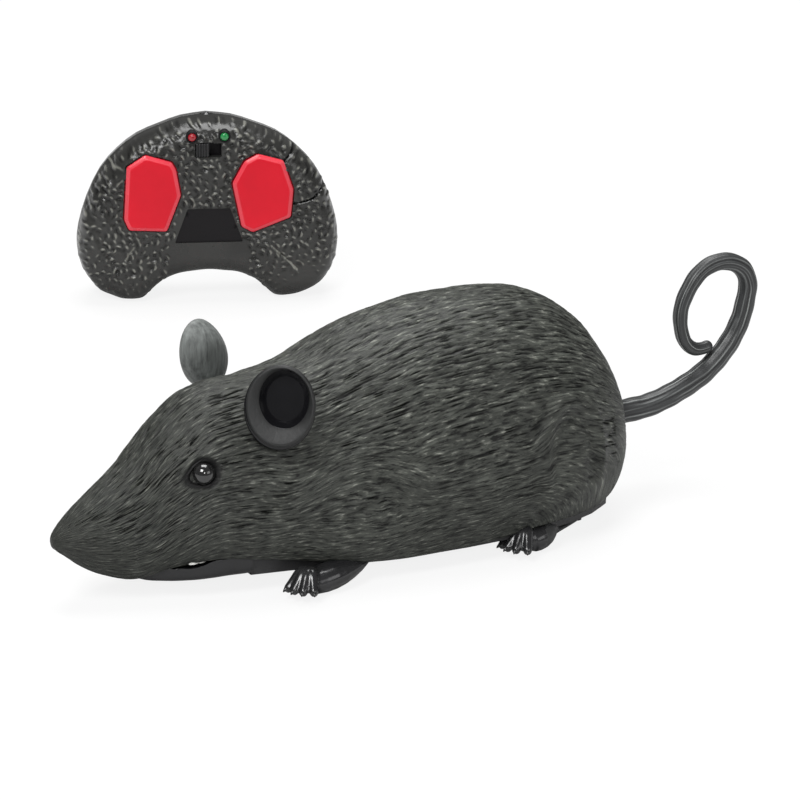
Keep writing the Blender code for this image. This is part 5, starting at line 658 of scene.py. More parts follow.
def body_relief(points):
    """How far the skin stands out or in, how deep its strands are, and where painted shade makes it near black."""
    x, out, z = points[..., 0], np.abs(points[..., 1]), points[..., 2]
    side = fade(out, 8.0, 24.0)
    form = 0.35 * noise(points, 14.0, 21) + 0.16 * noise(points, 6.0, 22)
    # shoulder, with folds in arcs
    shoulder = np.hypot(x - SHOULDER_X, (z - SHOULDER_Z) * np.where(z > SHOULDER_Z, 1.0, 0.6))
    arcs = fade(shoulder, 21.0, 12.0) * fade(x, 88.0, 97.0) * fade(z, 18.0, 26.0)
    form += side * (1.1 * hump(shoulder, 15.0) + 0.55 * np.cos(shoulder * 2.0 * math.pi / 5.2) * arcs)
    # haunch: a rolled edge round a hollow
    drop = np.where(z < HAUNCH_Z, (z - HAUNCH_Z) / 2.4, z - HAUNCH_Z)
    ring = np.hypot((x - HAUNCH_X) / HAUNCH_NARROW, drop) - HAUNCH_RADIUS
    upper = fade(z, 16.0, 30.0)
    form += side * 1.15 * (hump(ring, 2.6) - hump(ring + 5.4, 3.4)) * upper
    form -= side * 0.8 * hump(ring - 4.8, 3.2) * fade(x, 178.0, 168.0)
    for row in FLANK_SWELLS:
        form += side * spot(x, z, row)
    for row in SNOUT_SWELLS:
        form += spot(x, z, row)
    # strands: deep on the back and flanks, faint on lips, cheek, armpit and low flank
    shares = np.linspace(0.0, 1.0, 60)
    above = z - np.interp(x, shares * BODY_LENGTH, [body_station(share)[2] for share in shares])
    depth = 0.30 + 0.70 * fade(above, 3.0, 16.0)
    for row in CALM_SPOTS:
        depth *= 1.0 - spot(x, z, row)
    depth = np.maximum(depth, 0.85 * fade(x, 152.0, 166.0) * fade(above, 0.5, 4.0))
    depth *= 0.75 + 0.25 * fade(x, 2.0, 20.0)
    depth *= 1.0 - 0.5 * fade(ring, -2.0, -6.0) * upper
    depth *= 1.0 - 0.6 * fade(x, 195.0, 202.0)
    # eye: a hollow, in it a socket under the bead, a groove round it and a raised lid
    near_eye = eye_distance(points)
    form -= 0.5 * hump(near_eye, 10.0)
    form *= fade(near_eye, 3.0, 9.0)
    form += 0.25 * hump(near_eye - 6.0, 1.0) - 0.95 * hump(near_eye - 4.55, 0.75)
    form -= 2.6 * fade(near_eye, 4.3, 3.2)
    depth *= fade(near_eye, 4.6, 6.2)
    # the socket round the bead is painted near black as shade
    painted_shade = fade(near_eye, 6.0, 4.9)
    # ear: a hollow round its foot, painted near black as shade
    near_ear = ear_distance(points)
    on_head = fade(x, 58.0, 62.0) * fade(x, 96.0, 90.0) * fade(z, 45.0, 50.0)
    form += on_head * (0.4 * hump(near_ear - 9.6, 1.1) - 1.5 * fade(near_ear, 8.6, 6.2))
    depth *= 1.0 - on_head * fade(near_ear, 9.5, 7.5)
    painted_shade = np.maximum(painted_shade, on_head * fade(near_ear, 8.4, 7.2))
    # tail: a shallow ring where it leaves the rump, painted darker as shade
    tail_out = np.hypot(points[..., 1], z - TAIL_Z)
    at_rear = fade(x, 200.0, 206.0)
    form *= 1.0 - at_rear * fade(tail_out, 9.0, 5.0)
    painted_shade = np.maximum(painted_shade, 0.8 * at_rear * fade(tail_out, 4.9, 4.3))
    return form, depth, painted_shade


def end_fade(count, steps):
    """0 at both ends of a row of numbers and 1 away from them."""
    places = np.arange(count)
    return np.minimum(fade(places, 0, steps), fade(places, count - 1, count - 1 - steps))


def make_body():
    shares = body_rows()
    lows = [body_station(share)[2] for share in shares]
    outer = np.array([ring_line(share, 0.0, low, BODY_COLUMNS) for share, low in zip(shares, lows)])
    # the columns run from the near side to the far one, so this grid's directions point inwards
    normal = -surface_way(outer)
    row_step = np.maximum(np.linalg.norm(np.gradient(outer, axis=0), axis=-1), 0.05)
    column_step = np.maximum(np.linalg.norm(np.gradient(outer, axis=1), axis=-1), 0.02)
    # upwards is forwards through the columns on the near side and backwards on the far side
    angle = fur_angle(outer) * np.where(outer[..., 1] < 0.0, 1.0, -1.0)
    fine = streaks(angle, row_step, column_step, 31, 3.4, 0)
    broad = streaks(angle, row_step, column_step, 32, 5.0, 3)
    patchy = 0.5 + 0.5 * noise(outer, 7.0, 34)
    form, depth, painted_shade = body_relief(outer)
    grooves = np.clip(fine + 0.22 * broad, -1.4, 1.1)
    # cuts stand apart on a calmer skin: narrow, deep and thicker on some patches than on others, and their darkness is
    # painted shade
    cuts = fade(grooves, -0.30 - 0.25 * patchy, -1.0)
    at_ends, at_edges = end_fade(BODY_ROWS, 6)[:, None], end_fade(BODY_COLUMNS, 4)[None, :]
    height = form * at_ends * (0.25 + 0.75 * at_edges)
    height += 0.36 * depth * (0.60 * grooves - 0.9 * cuts) * at_ends * at_edges
    skin = outer + normal * height[..., None]
    # the head is duller than the back, and the rump paler
    shade_highlight_tone = 0.52 - 0.09 * fade(outer[..., 0], 78.0, 50.0) + 0.05 * fade(outer[..., 0], 150.0, 190.0)
    # painted shade darkens the grooves and cuts, and a painted highlight makes the ridges paler
    shade_highlight = np.clip(shade_highlight_tone + (0.26 * grooves - 0.45 * cuts) * (0.25 + 0.75 * depth), 0.0, 1.0)
    strands = np.stack([flow_coordinate(np.cos(angle) * row_step, np.sin(angle) * column_step),
                        flow_coordinate(-np.sin(angle) * row_step, np.cos(angle) * column_step)], -1)

    # each row closes under the body, along the cavity's wall where the belly is open
    rows, tones, painted_shades, uvs = [], [], [], []
    was_open = None
    for i, along in enumerate(shares):
        is_open = CAVITY_START_SHARE < along < CAVITY_END_SHARE
        belly = np.linspace(skin[i, -1], skin[i, 0], INSIDE_COLUMNS + 2)[1:-1]
        if 0.02 < along < 0.98:
            belly[:, 2] = lows[i]
        inner = ring_line(along, SHELL_WALL, lows[i], INSIDE_COLUMNS)[::-1]
        chosen = [inner if is_open else belly]
        if was_open not in (None, is_open):
            chosen.insert(0, belly if is_open else inner)
        was_open = is_open
        for inside in chosen:
            rows.append(np.vstack([skin[i], inside]))
            tones.append(np.concatenate([shade_highlight[i], np.full(INSIDE_COLUMNS, 0.5)]))
            # the shell's inside is painted most of the way to near black, as shade
            painted_shades.append(np.concatenate([painted_shade[i], np.full(INSIDE_COLUMNS, 0.6)]))
            uvs.append(np.vstack([strands[i], np.linspace(strands[i, -1], strands[i, 0], INSIDE_COLUMNS)]))
    mesh_form = Form()
    mesh_form.loft(np.array(rows))
    piece = mesh_form.piece("body_skin", in_rat, FUR, 70.0)
    add_values(piece, "shade_highlight", np.concatenate(tones + [[0.5, 0.5]]))
    add_values(piece, "painted_shade", np.concatenate(painted_shades + [[0.0, 0.0]]))
    layer = piece.data.uv_layers.new(name="strands")
    corners = np.empty(len(piece.data.loops), dtype=np.int32)
    piece.data.loops.foreach_get("vertex_index", corners)
    all_uv = np.vstack(uvs + [np.array([[0.0, 0.0], [BODY_LENGTH, 0.0]])])
    layer.data.foreach_set("uv", all_uv[corners].astype(np.float32).ravel())
    settle(piece, "rat", ["body_shell"])


make_body()


# Eyes: beads that stand in the sockets
def make_eyes():
    around = full_turn(48)
    for side, sign in SIDES:
        centre = EYE_CENTRE * (1.0, sign, 1.0)
        rings = [[centre + EYE_RADIUS * np.array([math.sin(t) * math.cos(a), math.sin(t) * math.sin(a), math.cos(t)])
                  for a in around] for t in np.linspace(0.0, math.pi, 34)[1:-1]]
        form = Form()
        form.loft(rings)
        settle(form.piece(f"eye_bead_{side}", in_rat, EYE_BLACK, 80.0), "rat", [f"eye_{side}"])


make_eyes()


def frame_of(axis):
    """Two unit vectors square to an axis, the second as near upright as it can be."""
    axis = unit(axis)
    side = unit(np.cross([0.0, 0.0, 1.0], axis))
    return side, unit(np.cross(axis, side))


def oval(centre, axis, half_width, half_height, turns):
    side, up = frame_of(axis)
    return (np.asarray(centre)[None, :] + np.cos(turns)[:, None] * half_width * side[None, :]
            + np.sin(turns)[:, None] * half_height * up[None, :])


# Ears: a deep cup with a rolled rim on a stem that stands in the head
EAR_PROFILE = (
    (0.00, 0.02), (0.02, 0.26), (0.08, 0.50), (0.20, 0.69), (0.38, 0.83), (0.60, 0.93), (0.80, 0.985), (0.93, 1.00),
    (1.01, 0.985), (1.055, 0.95), (1.06, 0.915), (1.02, 0.880), (0.92, 0.845), (0.78, 0.785), (0.62, 0.69),
    (0.48, 0.56), (0.36, 0.38), (0.29, 0.20), (0.26, 0.02),
)


EAR_ROWS, EAR_SIDES, EAR_BOWL_ROW = 76, 84, 49
EAR_STEM = ((0.0, 4.0), (1.0, 5.6), (3.0, 6.0), (5.0, 5.2), (8.0, 4.3), (16.0, 4.2))
EAR_SHADE_COLLAR = ((-2.0, 0.86), (-0.4, 0.99), (0.6, 1.03), (1.3, 1.02), (1.7, 0.97), (1.7, 0.80))


def make_ear(side, sign):
    turns = full_turn(EAR_SIDES)
    flip = np.array([1.0, sign, 1.0])
    is_near = sign > 0.0
    # the far ear has been turned a little on its stem and shows its back, which is painted paler as if lit
    facing = EAR_FACING if is_near else unit([-0.40, -0.88, 0.24])
    narrow = 1.0 if is_near else 0.88
    to_opening = frame_of(facing)[1] * 2.0 + np.array([1.2, 0.0, 0.0])
    rings = []
    for row, (along, wide) in enumerate(smooth_curve(EAR_PROFILE, EAR_ROWS)):
        # the bowl opens towards the top and the tail, so its wall is thick below and in front
        inside = fade(row, 40.0, 50.0)
        place = EAR_CENTRE + facing * (EAR_DEPTH * (along - 0.5)) + inside * to_opening
        wide = wide * (1.0 - 0.17 * inside)
        rings.append(oval(place, facing, wide * narrow * EAR_WIDTH / 2.0, wide * EAR_HEIGHT / 2.0, turns))
    rings = np.array(rings)
    if not is_near:
        rings[..., 0] -= 0.35 * (rings[..., 2] - EAR_CENTRE[2])
    wave = noise(rings * (1.0, 1.0, 0.22), 1.5, 41) * 0.13 * fade(np.arange(EAR_ROWS), 34.0, 22.0)[:, None]
    rings = rings + surface_way(rings) * wave[..., None]
    form = Form()
    form.loft(rings * flip)
    base = EAR_CENTRE - EAR_FACING * (EAR_DEPTH * 0.05) + EAR_LEAN * (EAR_HEIGHT * 0.34)
    stem = [oval(base + EAR_LEAN * along, EAR_LEAN, radius, radius * 0.8, turns[::2]) for along, radius in EAR_STEM]
    form.loft(np.array(stem) * flip)
    shade_collar_first = len(form.faces)
    if is_near:
        # a gloss black ring below and in front of the cup stands as painted shade in the socket
        middle = EAR_CENTRE + facing * -1.6 + np.array([-0.8, 0.45, -0.9])
        shade_collar = [oval(middle + facing * along, facing, EAR_WIDTH * wide / 2.0, EAR_HEIGHT * wide / 2.0, turns)
                  for along, wide in EAR_SHADE_COLLAR]
        form.loft(np.array(shade_collar) * flip)
    piece = form.piece(f"ear_cup_{side}", in_rat, EAR_OUTSIDE if is_near else EAR_BACK_PAINTED_LIGHT, 60.0)
    bowl = np.zeros(len(form.faces), dtype=bool)
    bowl[EAR_SIDES * EAR_BOWL_ROW:EAR_SIDES * (EAR_ROWS - 1)] = True
    # the cup's two end fans follow its rows, and the second one closes the bowl
    bowl[EAR_SIDES * EAR_ROWS:EAR_SIDES * (EAR_ROWS + 1)] = True
    # the ring of painted shade takes the bowl's gloss black too
    bowl[shade_collar_first:] = True
    second_finish(piece, EAR_BOWL, bowl)
    settle(piece, "rat", [f"ear_{side}"])


for ear_side in SIDES:
    make_ear(*ear_side)


# Lower jaw and teeth
JAW_START, JAW_END, JAW_BOTTOM, JAW_DEPTH, JAW_ROOM = 26.5, 61.5, 4.6, 8.6, 3.0
JAW_SHARES = (
    (0.00, 0.42, 0.20, 0.42), (0.10, 0.72, 0.10, 0.50), (0.28, 0.92, 0.03, 0.66), (0.50, 1.00, 0.00, 0.84),
    (0.75, 1.00, 0.02, 0.96), (1.00, 1.00, 0.06, 1.00),
)
WEDGE_LOW, WEDGE_TOP = 6.25, 6.45
TONGUE = (8.0, 8.9, 10.9)
# how far back each tooth stands, its half width and its height, then a tooth's fullness at shares of the height
TOOTH_SHARE, TEETH = 0.42, ((1.9, 1.9, 4.9), (4.8, 1.8, 4.5))
TOOTH_PROFILE = ((0.0, 0.86), (0.25, 1.0), (0.6, 0.98), (0.85, 0.8), (0.97, 0.45), (1.0, 0.12))


def jaw_section(share):
    """Where a section of the jaw lies: along, half width, bottom and top."""
    x = JAW_START + (JAW_END - JAW_START) * share
    shares = [row[0] for row in JAW_SHARES]
    wide, low, high = (smooth_value(shares, [row[i] for row in JAW_SHARES], share) for i in range(1, 4))
    half = wide * (body_station(x / BODY_LENGTH)[0] - JAW_ROOM)
    return x, half, JAW_BOTTOM + low * JAW_DEPTH, JAW_BOTTOM + high * JAW_DEPTH


def make_jaw():
    rings = []
    below = np.linspace(0.0, math.pi, 45)
    for share in np.linspace(0.0, 1.0, 60):
        x, half, low, high = jaw_section(share)
        middle = low + (high - low) * 0.55
        bottom = np.stack([half * np.cos(below), middle + (low - middle) * np.sin(below) ** 0.8], -1)
        over = np.linspace(-half, half, 31)
        # the lips stand up at both sides, and dip where the mouth is open
        lip = (2.3 - 1.5 * hump(share - 0.47, 0.17)) * hump(np.abs(over) - half, 1.3)
        top = np.stack([over, high - 0.9 + lip - 0.7 * (1.0 - (over / half) ** 2)], -1)
        rings.append(at_station(x, resampled(np.vstack([bottom, top]), 110, True)))
    rings = np.array(rings)
    rings = rings + surface_way(rings) * (0.10 * noise(rings, 5.0, 51))[..., None]
    form = Form()
    form.loft(rings)
    # a thin wedge runs on under the chassis plate, and the screwed tongue lies over it
    half, low = jaw_section(1.0)[1:3]
    wedge = []
    for share in np.linspace(0.0, 1.0, 8):
        wide, bottom = half * (1.0 - 0.06 * share), low + (WEDGE_LOW - low) * share
        edge = np.stack([0.75 * wide * np.cos(below), WEDGE_TOP - (WEDGE_TOP - bottom) * np.sin(below) ** 0.6], -1)
        wedge.append(at_station(JAW_END - 0.3 + 6.0 * share, edge))
    form.loft(wedge)
    half, low, high = TONGUE
    loop = [(half, low + 0.3), (half - 0.3, low), (-half + 0.3, low), (-half, low + 0.3), (-half, high - 0.3),
            (-half + 0.3, high), (half - 0.3, high), (half, high - 0.3)]
    form.loft([[(x, y, z) for y, z in loop] for x in (JAW_END - 2.0, JAW_END + 5.4)])
    settle(form.piece("jaw_tray", in_rat, JAW_BLACK, 40.0), "rat", ["lower_jaw"])


make_jaw()


def make_teeth():
    x, half = jaw_section(TOOTH_SHARE)[:2]
    base = jaw_section(TOOTH_SHARE + 5.0 / (JAW_END - JAW_START))[3] + 0.3
    form = Form()
    turns = full_turn(28)
    section = np.stack([x + 0.8 + 0.75 * np.cos(turns), base + 0.35 + 0.35 * np.sin(turns)], -1)
    form.loft([at_depth(section, y) for y in np.linspace(-half + 0.4, half - 0.4, 9)])
    for sign in (-1.0, 1.0):
        for shift, width, tall in TEETH:
            form.loft([np.stack([x + shift + width * fat * np.cos(turns) * 1.02,
                                 sign * (half - 0.5) + fat * np.sin(turns),
                                 np.full(len(turns), base + up * tall)], -1) for up, fat in TOOTH_PROFILE])
    settle(form.piece("tooth_strip", in_rat, TOOTH_WHITE, 60.0), "rat", ["teeth"])


make_teeth()


# Paws: palm, knuckled toes and arm run together, with claws
FLOOR_GAP, PAW_TOP = 0.5, 6.3
# kind, palm, toes' length, their turns in degrees, the arm's end, and the peg's x and distance from the middle
PAWS = (
    ("front", (79.0, -31.8, 3.9), 8.8, (188.0, 206.0, 226.0, 248.0), (101.5, -29.0, 6.8), (87.3, 24.6)),
    ("hind", (159.5, -34.2, 3.9), 8.8, (176.0, 196.0, 217.0, 241.0), (172.5, -30.0, 6.6), (183.0, 26.4)),
)
TOE_PROFILE = ((0.00, 2.90, 1.10), (0.18, 3.10, 1.16), (0.36, 2.60, 1.12), (0.54, 1.70, 1.02), (0.70, 0.80, 1.00),
               (0.86, 0.05, 0.92), (0.96, -0.25, 0.62))
# radii along the arm and along the limb that carries the peg, and how flat each is
ARM_RADII, ARM_FLAT = (5.2, 6.0, 6.2, 5.8, 4.8, 3.4, 1.5), 0.78
LIMB_RADII, LIMB_FLAT, LIMB_Z = (4.0, 4.0, 3.6, 3.0, 2.6, 2.2, 1.6), 0.40, 5.2
CLAW_PROFILE = ((0.82, 0.30, 0.55), (0.93, 0.15, 0.46), (1.02, -0.10, 0.30), (1.08, -0.40, 0.08))
TOE_RADIUS, KNUCKLE_OUT = 1.6, 1.8
# the palm's half length, half width, and its height above and below its middle
PALM_LONG, PALM_WIDE, PALM_UP, PALM_DOWN = 4.9, 4.6, 5.6, 3.4
PAW_VOXEL = 0.36


def tube_rings(line, radii, sides, flat=1.0):
    line = np.asarray(line, dtype=float)
    turns = full_turn(sides)
    return np.array([oval(p, w, r, r * flat, turns) for p, w, r in zip(line, np.gradient(line, axis=0), radii)])


def toe_rings(palm, degrees, length, profile, count, sides):
    """A toe or its claw, from the knuckle outwards, kept off the floor."""
    way = np.array([math.cos(math.radians(degrees)), math.sin(math.radians(degrees)), 0.0])
    along, rise, fat = smooth_curve(profile, count).T
    radii = np.maximum(fat, 0.04) * TOE_RADIUS
    line = palm + way * KNUCKLE_OUT + way * (along * length)[:, None]
    line[:, 2] = np.maximum(line[:, 2] + rise * TOE_RADIUS, FLOOR_GAP + radii)
    return tube_rings(line, radii, sides)


def values_of(items, field, width=3):
    """A field of a mesh's points or faces as an array."""
    values = np.empty(len(items) * width)
    items.foreach_get(field, values)
    return values.reshape(-1, width)


def make_paw(kind, palm, toe_length, toe_turns, arm_end, peg, side, sign):
    form = Form()
    flip = np.array([1.0, sign, 1.0])
    palm = np.array(palm)
    turns = full_turn(24)
    rings = []
    for t in np.linspace(0.08, math.pi - 0.08, 14):
        tall = PALM_UP if t < 1.57 else PALM_DOWN
        rings.append(np.stack([palm[0] + PALM_LONG * math.sin(t) * np.cos(turns),
                               palm[1] + PALM_WIDE * math.sin(t) * np.sin(turns),
                               np.full(len(turns), palm[2] + tall * math.cos(t))], -1))
    form.loft(np.array(rings) * flip)
    for degrees in toe_turns:
        form.loft(toe_rings(palm, degrees, toe_length, TOE_PROFILE, 22, 20) * flip)
    for end, radii, flat in ((np.array(arm_end), ARM_RADII, ARM_FLAT),
                             (np.array([peg[0], -peg[1], LIMB_Z]), LIMB_RADII, LIMB_FLAT)):
        line = [palm + (end - palm) * share for share in np.linspace(0.0, 1.0, 7)]
        form.loft(tube_rings(line, radii, 26, flat) * flip)
    points = form.points()
    # the paw lies flat under the plate and may stand up outside it
    top = PAW_TOP + 4.4 * fade(np.abs(points[:, 1]), 27.0, 30.5)
    points[:, 2] = np.clip(points[:, 2], FLOOR_GAP, top)
    name = f"{kind}_foot_{side}"
    piece = new_piece(name, in_rat(points), form.faces, PAW_BLACK, 180.0)
    outward(piece)
    remesh = piece.modifiers.new("together", "REMESH")
    remesh.mode, remesh.voxel_size = "VOXEL", PAW_VOXEL * MM
    soften = piece.modifiers.new("soften", "SMOOTH")
    soften.factor, soften.iterations = 0.5, 4
    apply_modifiers(piece)
    form = Form()
    form.add((values_of(piece.data.vertices, "co") - RAT_PLACE) / MM, [tuple(p.vertices) for p in piece.data.polygons])
    bpy.data.objects.remove(piece)
    for degrees in toe_turns:
        form.loft(toe_rings(palm, degrees, toe_length, CLAW_PROFILE, 14, 16) * flip)
    form.loft([oval((peg[0], sign * peg[1], z), (0.0, 0.001, 1.0), radius, radius, turns)
               for z, radius in ((4.5, 1.5), (8.3, 1.5), (8.6, 1.2))])
    piece = form.piece(name, in_rat, PAW_BLACK, 60.0)
    # the heel and the forearm's lower edge are satin, less glossy than the toes, and painted paler as their sheen
    middles = (values_of(piece.data.polygons, "center") - RAT_PLACE) / MM
    behind = middles[:, 0] - palm[0] + 0.8 * noise(middles, 2.5, 55)
    satin_sheen = behind > 3.5 + 0.25 * middles[:, 2]
    if kind == "front":
        satin_sheen = (behind > 5.0) & (middles[:, 2] < 1.6 + 0.16 * behind)
    second_finish(piece, PAW_SATIN_SHEEN, satin_sheen)
    settle(piece, "rat", [f"{kind}_paw_{side}"])


for paw in PAWS:
    for paw_side in SIDES:
        make_paw(*paw, *paw_side)


# Tail
TAIL_ROOT_RADIUS, TAIL_TIP_RADIUS, TAIL_REACH, TAIL_RISE = 4.1, 2.1, 52.8, 47.0
TAIL_ROUTE = (
    (0.00, 0.00), (0.13, 0.00), (0.28, 0.01), (0.45, 0.06), (0.64, 0.15), (0.765, 0.25), (0.87, 0.375),
    (0.945, 0.52), (0.985, 0.67), (1.00, 0.80), (0.955, 0.92), (0.85, 0.99), (0.73, 0.99), (0.63, 0.93),
    (0.555, 0.82), (0.51, 0.70), (0.505, 0.575), (0.535, 0.45), (0.60, 0.375), (0.685, 0.365), (0.74, 0.395),
)
# points on the whole route, and how many of them the tail takes
ROUTE_POINTS, TAIL_POINTS = 416, 400
TAIL_ROWS, TAIL_SIDES = 380, 96
# grooves that wander, part and meet, as in grained wood: how many, how deep, how far they swing, and their start
TAIL_GROOVES = ((9, 0.38, 3.2, 0.4), (14, 0.40, 4.1, 2.1), (19, 0.32, 4.6, 3.7), (23, 0.26, 5.2, 5.2))
TAIL_PLUG = ((0.0, 2.9), (0.3, 3.4), (0.8, 4.5), (1.3, 4.6), (1.6, 4.4), (1.6, 3.0), (5.5, 3.0))


def make_tail():
    route = smooth_curve(TAIL_ROUTE, ROUTE_POINTS)[:TAIL_POINTS]
    line = at_depth(route * (TAIL_REACH, TAIL_RISE) + (BODY_LENGTH + 0.3, TAIL_Z), 0.0)
    even = resampled(np.column_stack([line, np.linspace(0.0, 1.0, TAIL_POINTS)]), TAIL_ROWS)
    line, shares = even[:, :3], even[:, 3]
    ways = np.gradient(line, axis=0)
    radii = TAIL_ROOT_RADIUS + (TAIL_TIP_RADIUS - TAIL_ROOT_RADIUS) * shares
    turns = full_turn(TAIL_SIDES)
    # the tail lies in one upright plane, so its rings turn about one axis
    side = np.array([0.0, 1.0, 0.0])
    reach = np.concatenate([[0.0], np.cumsum(np.linalg.norm(np.diff(line, axis=0), axis=1))])
    rings, shade_highlight_tone = [], []
    for point, way, radius, place in zip(line, ways, radii, reach):
        up = unit(np.cross(unit(way), side))
        grooves = sum(deep * np.sin(count * turns + start + swing * math.sin(place * 0.9 / (10.0 + count) + start))
                      for count, deep, swing, start in TAIL_GROOVES)
        # the grooves are painted darker as shade and the ridges between them paler as highlight
        shade_highlight_tone.append(0.46 + 0.30 * grooves)
        grow = radius * (1.0 + 0.02 * math.sin(place * 0.9))
        grow = grow + 0.11 * grooves * (0.45 + 0.55 * radius / TAIL_ROOT_RADIUS)
        rings.append(point + (np.cos(turns) * grow)[:, None] * side + (np.sin(turns) * grow)[:, None] * up)
    # a round tip
    for share in (0.35, 0.65, 0.86, 0.97):
        shrink = math.sqrt(1.0 - share**2)
        rings.append(line[-1] + (rings[TAIL_ROWS - 1] - line[-1]) * shrink + unit(ways[-1]) * TAIL_TIP_RADIUS * share)
    form = Form()
    form.loft(rings)
    form.loft([oval((BODY_LENGTH - 3.9 + along, 0.0, TAIL_Z), (1.0, 0.0, 0.0), radius, radius, turns[::2])
               for along, radius in TAIL_PLUG])
    piece = form.piece("tail_vinyl", in_rat, TAIL_GREY, 60.0)
    shade_highlight = np.full(form.count, 0.48)
    shade_highlight[:TAIL_ROWS * TAIL_SIDES] = np.concatenate(shade_highlight_tone)
    add_values(piece, "shade_highlight", np.clip(shade_highlight, 0.0, 1.0))
    settle(piece, "tail", ["tail"])


make_tail()


# Handset
HANDSET_WIDTH, HANDSET_HEIGHT, HALF_DEPTH, HANDSET_WALL = 92.0, 67.0, 12.0, 1.8
HANDSET_OUTLINE = (
    (0.000, 1.000), (0.196, 0.982), (0.370, 0.940), (0.543, 0.888), (0.696, 0.806), (0.826, 0.701),
    (0.924, 0.560), (0.989, 0.403), (1.000, 0.284), (0.961, 0.164), (0.870, 0.072), (0.739, 0.018),
    (0.609, 0.000), (0.500, 0.007), (0.424, 0.054), (0.337, 0.104), (0.207, 0.140), (0.000, 0.154),
)
FRONT_PROFILE = ((0.0, 0.00), (0.50, 0.04), (0.80, 0.17), (0.95, 0.35), (1.0, 0.55))
LEFT_BUTTON = (
    (-0.630, 0.776), (-0.652, 0.484), (-0.613, 0.421), (-0.320, 0.410), (-0.211, 0.610), (-0.248, 0.758),
    (-0.280, 0.799), (-0.483, 0.843),
)
RIGHT_BUTTON = (
    (0.576, 0.793), (0.380, 0.833), (0.272, 0.793), (0.178, 0.673), (0.248, 0.427), (0.335, 0.393),
    (0.630, 0.473), (0.652, 0.627),
)
PANEL = ((-0.163, 0.530), (-0.261, 0.342), (0.261, 0.342), (0.163, 0.530))
SLOT_UP, SLOT_LENGTH, SLOT_HEIGHT = 0.858 * HANDSET_HEIGHT, 9.3, 5.4
LAMP_APART, LAMP_UP, LAMP_RADIUS = 11.4, 0.930 * HANDSET_HEIGHT, 1.5
BUTTON_PROUD, PANEL_RECESS = 1.3, 0.6
FACE_Y = -HALF_DEPTH


def sized(shares):
    return np.array([(across * HANDSET_WIDTH / 2.0, up * HANDSET_HEIGHT) for across, up in shares])


def handset_outline(count):
    """The crescent and its inward directions, evenly spread, clockwise from the middle of the top."""
    right = smooth_curve(HANDSET_OUTLINE, 35) * (HANDSET_WIDTH / 2.0, HANDSET_HEIGHT)
    fine = np.vstack([right, right[-2:0:-1] * (-1.0, 1.0)])
    for _ in range(3):
        before, after, after_two = np.roll(fine, 1, 0), np.roll(fine, -1, 0), np.roll(fine, -2, 0)
        middle = (fine + after) * 0.5625 - (before + after_two) * 0.0625
        fine = np.stack([fine, middle], 1).reshape(-1, 2)
    fine = resampled(fine, count, True)
    way = np.roll(fine, -1, 0) - np.roll(fine, 1, 0)
    way /= np.linalg.norm(way, axis=1, keepdims=True)
    return fine, np.stack([way[:, 1], -way[:, 0]], -1)


def handset_rings(count, rows, wall=0.0):
    """The front shell's side, from its rear edge to its face, drawn in by a wall."""
    outline, inward = handset_outline(count)
    rings = []
    for depth, drawn in resampled(smooth_curve(FRONT_PROFILE, 60) * (HALF_DEPTH - wall), rows):
        flat = outline + inward * (wall + drawn)
        flat[:, 1] = np.maximum(flat[:, 1], 0.0)
        rings.append(at_depth(flat, -max(depth, 0.0)))
    return np.array(rings)


def inside_loop(points, loop):
    """Which of the points lie inside a closed loop."""
    x, z = points[:, 0], points[:, 1]
    inside = np.zeros(len(points), dtype=bool)
    for (x1, z1), (x2, z2) in zip(np.roll(loop, 1, axis=0), loop):
        if z1 != z2:
            inside ^= ((z1 > z) != (z2 > z)) & (x < (x2 - x1) * (z - z1) / (z2 - z1) + x1)
    return inside


def near_loop(points, loop, gap):
    """Which of the points lie closer than the gap to a loop's points."""
    keep = np.zeros(len(points), dtype=bool)
    for corner in loop:
        keep |= np.abs(points - corner).max(axis=1) < gap
    return keep


def filled(loop, holes, spacing):
    """Points and triangles that fill a loop around its holes. The loops' own points come first."""
    low, high = loop.min(axis=0), loop.max(axis=0)
    rows = []
    for k, z in enumerate(np.arange(low[1], high[1], spacing * 0.866)):
        xs = np.arange(low[0] + (spacing / 2.0 if k % 2 else 0.0), high[0], spacing)
        rows.append(np.stack([xs, np.full(len(xs), z)], -1))
    lattice = np.vstack(rows)
    keep = inside_loop(lattice, loop) & ~near_loop(lattice, loop, spacing * 0.6)
    for hole in holes:
        keep &= ~inside_loop(lattice, hole)
        keep &= ~near_loop(lattice, hole, spacing * 0.6)
    loops = [loop] + list(holes)
    points = np.vstack(loops + [lattice[keep]])
    edges, first = [], 0
    for one in loops:
        edges += [(first + i, first + (i + 1) % len(one)) for i in range(len(one))]
        first += len(one)
    result = delaunay_2d_cdt([Vector(p) for p in points.tolist()], edges, [], 0, 1e-6, True)
    names = [group[0] if group else -1 for group in result[3]]
    triangles = np.array([[names[i] for i in face] for face in result[2] if len(face) == 3])
    triangles = triangles[(triangles >= 0).all(axis=1)]
    middles = points[triangles].mean(axis=1)
    inside = inside_loop(middles, loop)
    for hole in holes:
        inside &= ~inside_loop(middles, hole)
    return points, triangles[inside]


def grown(points, amount):
    """A convex outline with each edge moved out by an amount."""
    count = len(points)
    area = sum(points[i - 1][0] * points[i][1] - points[i][0] * points[i - 1][1] for i in range(count))
    turn = 1.0 if area > 0.0 else -1.0
    out = []
    for i in range(count):
        before, after = unit(points[i] - points[i - 1]), unit(points[(i + 1) % count] - points[i])
        first, second = np.array([before[1], -before[0]]) * turn, np.array([after[1], -after[0]]) * turn
        middle = unit(first + second)
        out.append(points[i] + middle * amount / max(float(middle @ first), 0.4))
    return np.array(out)


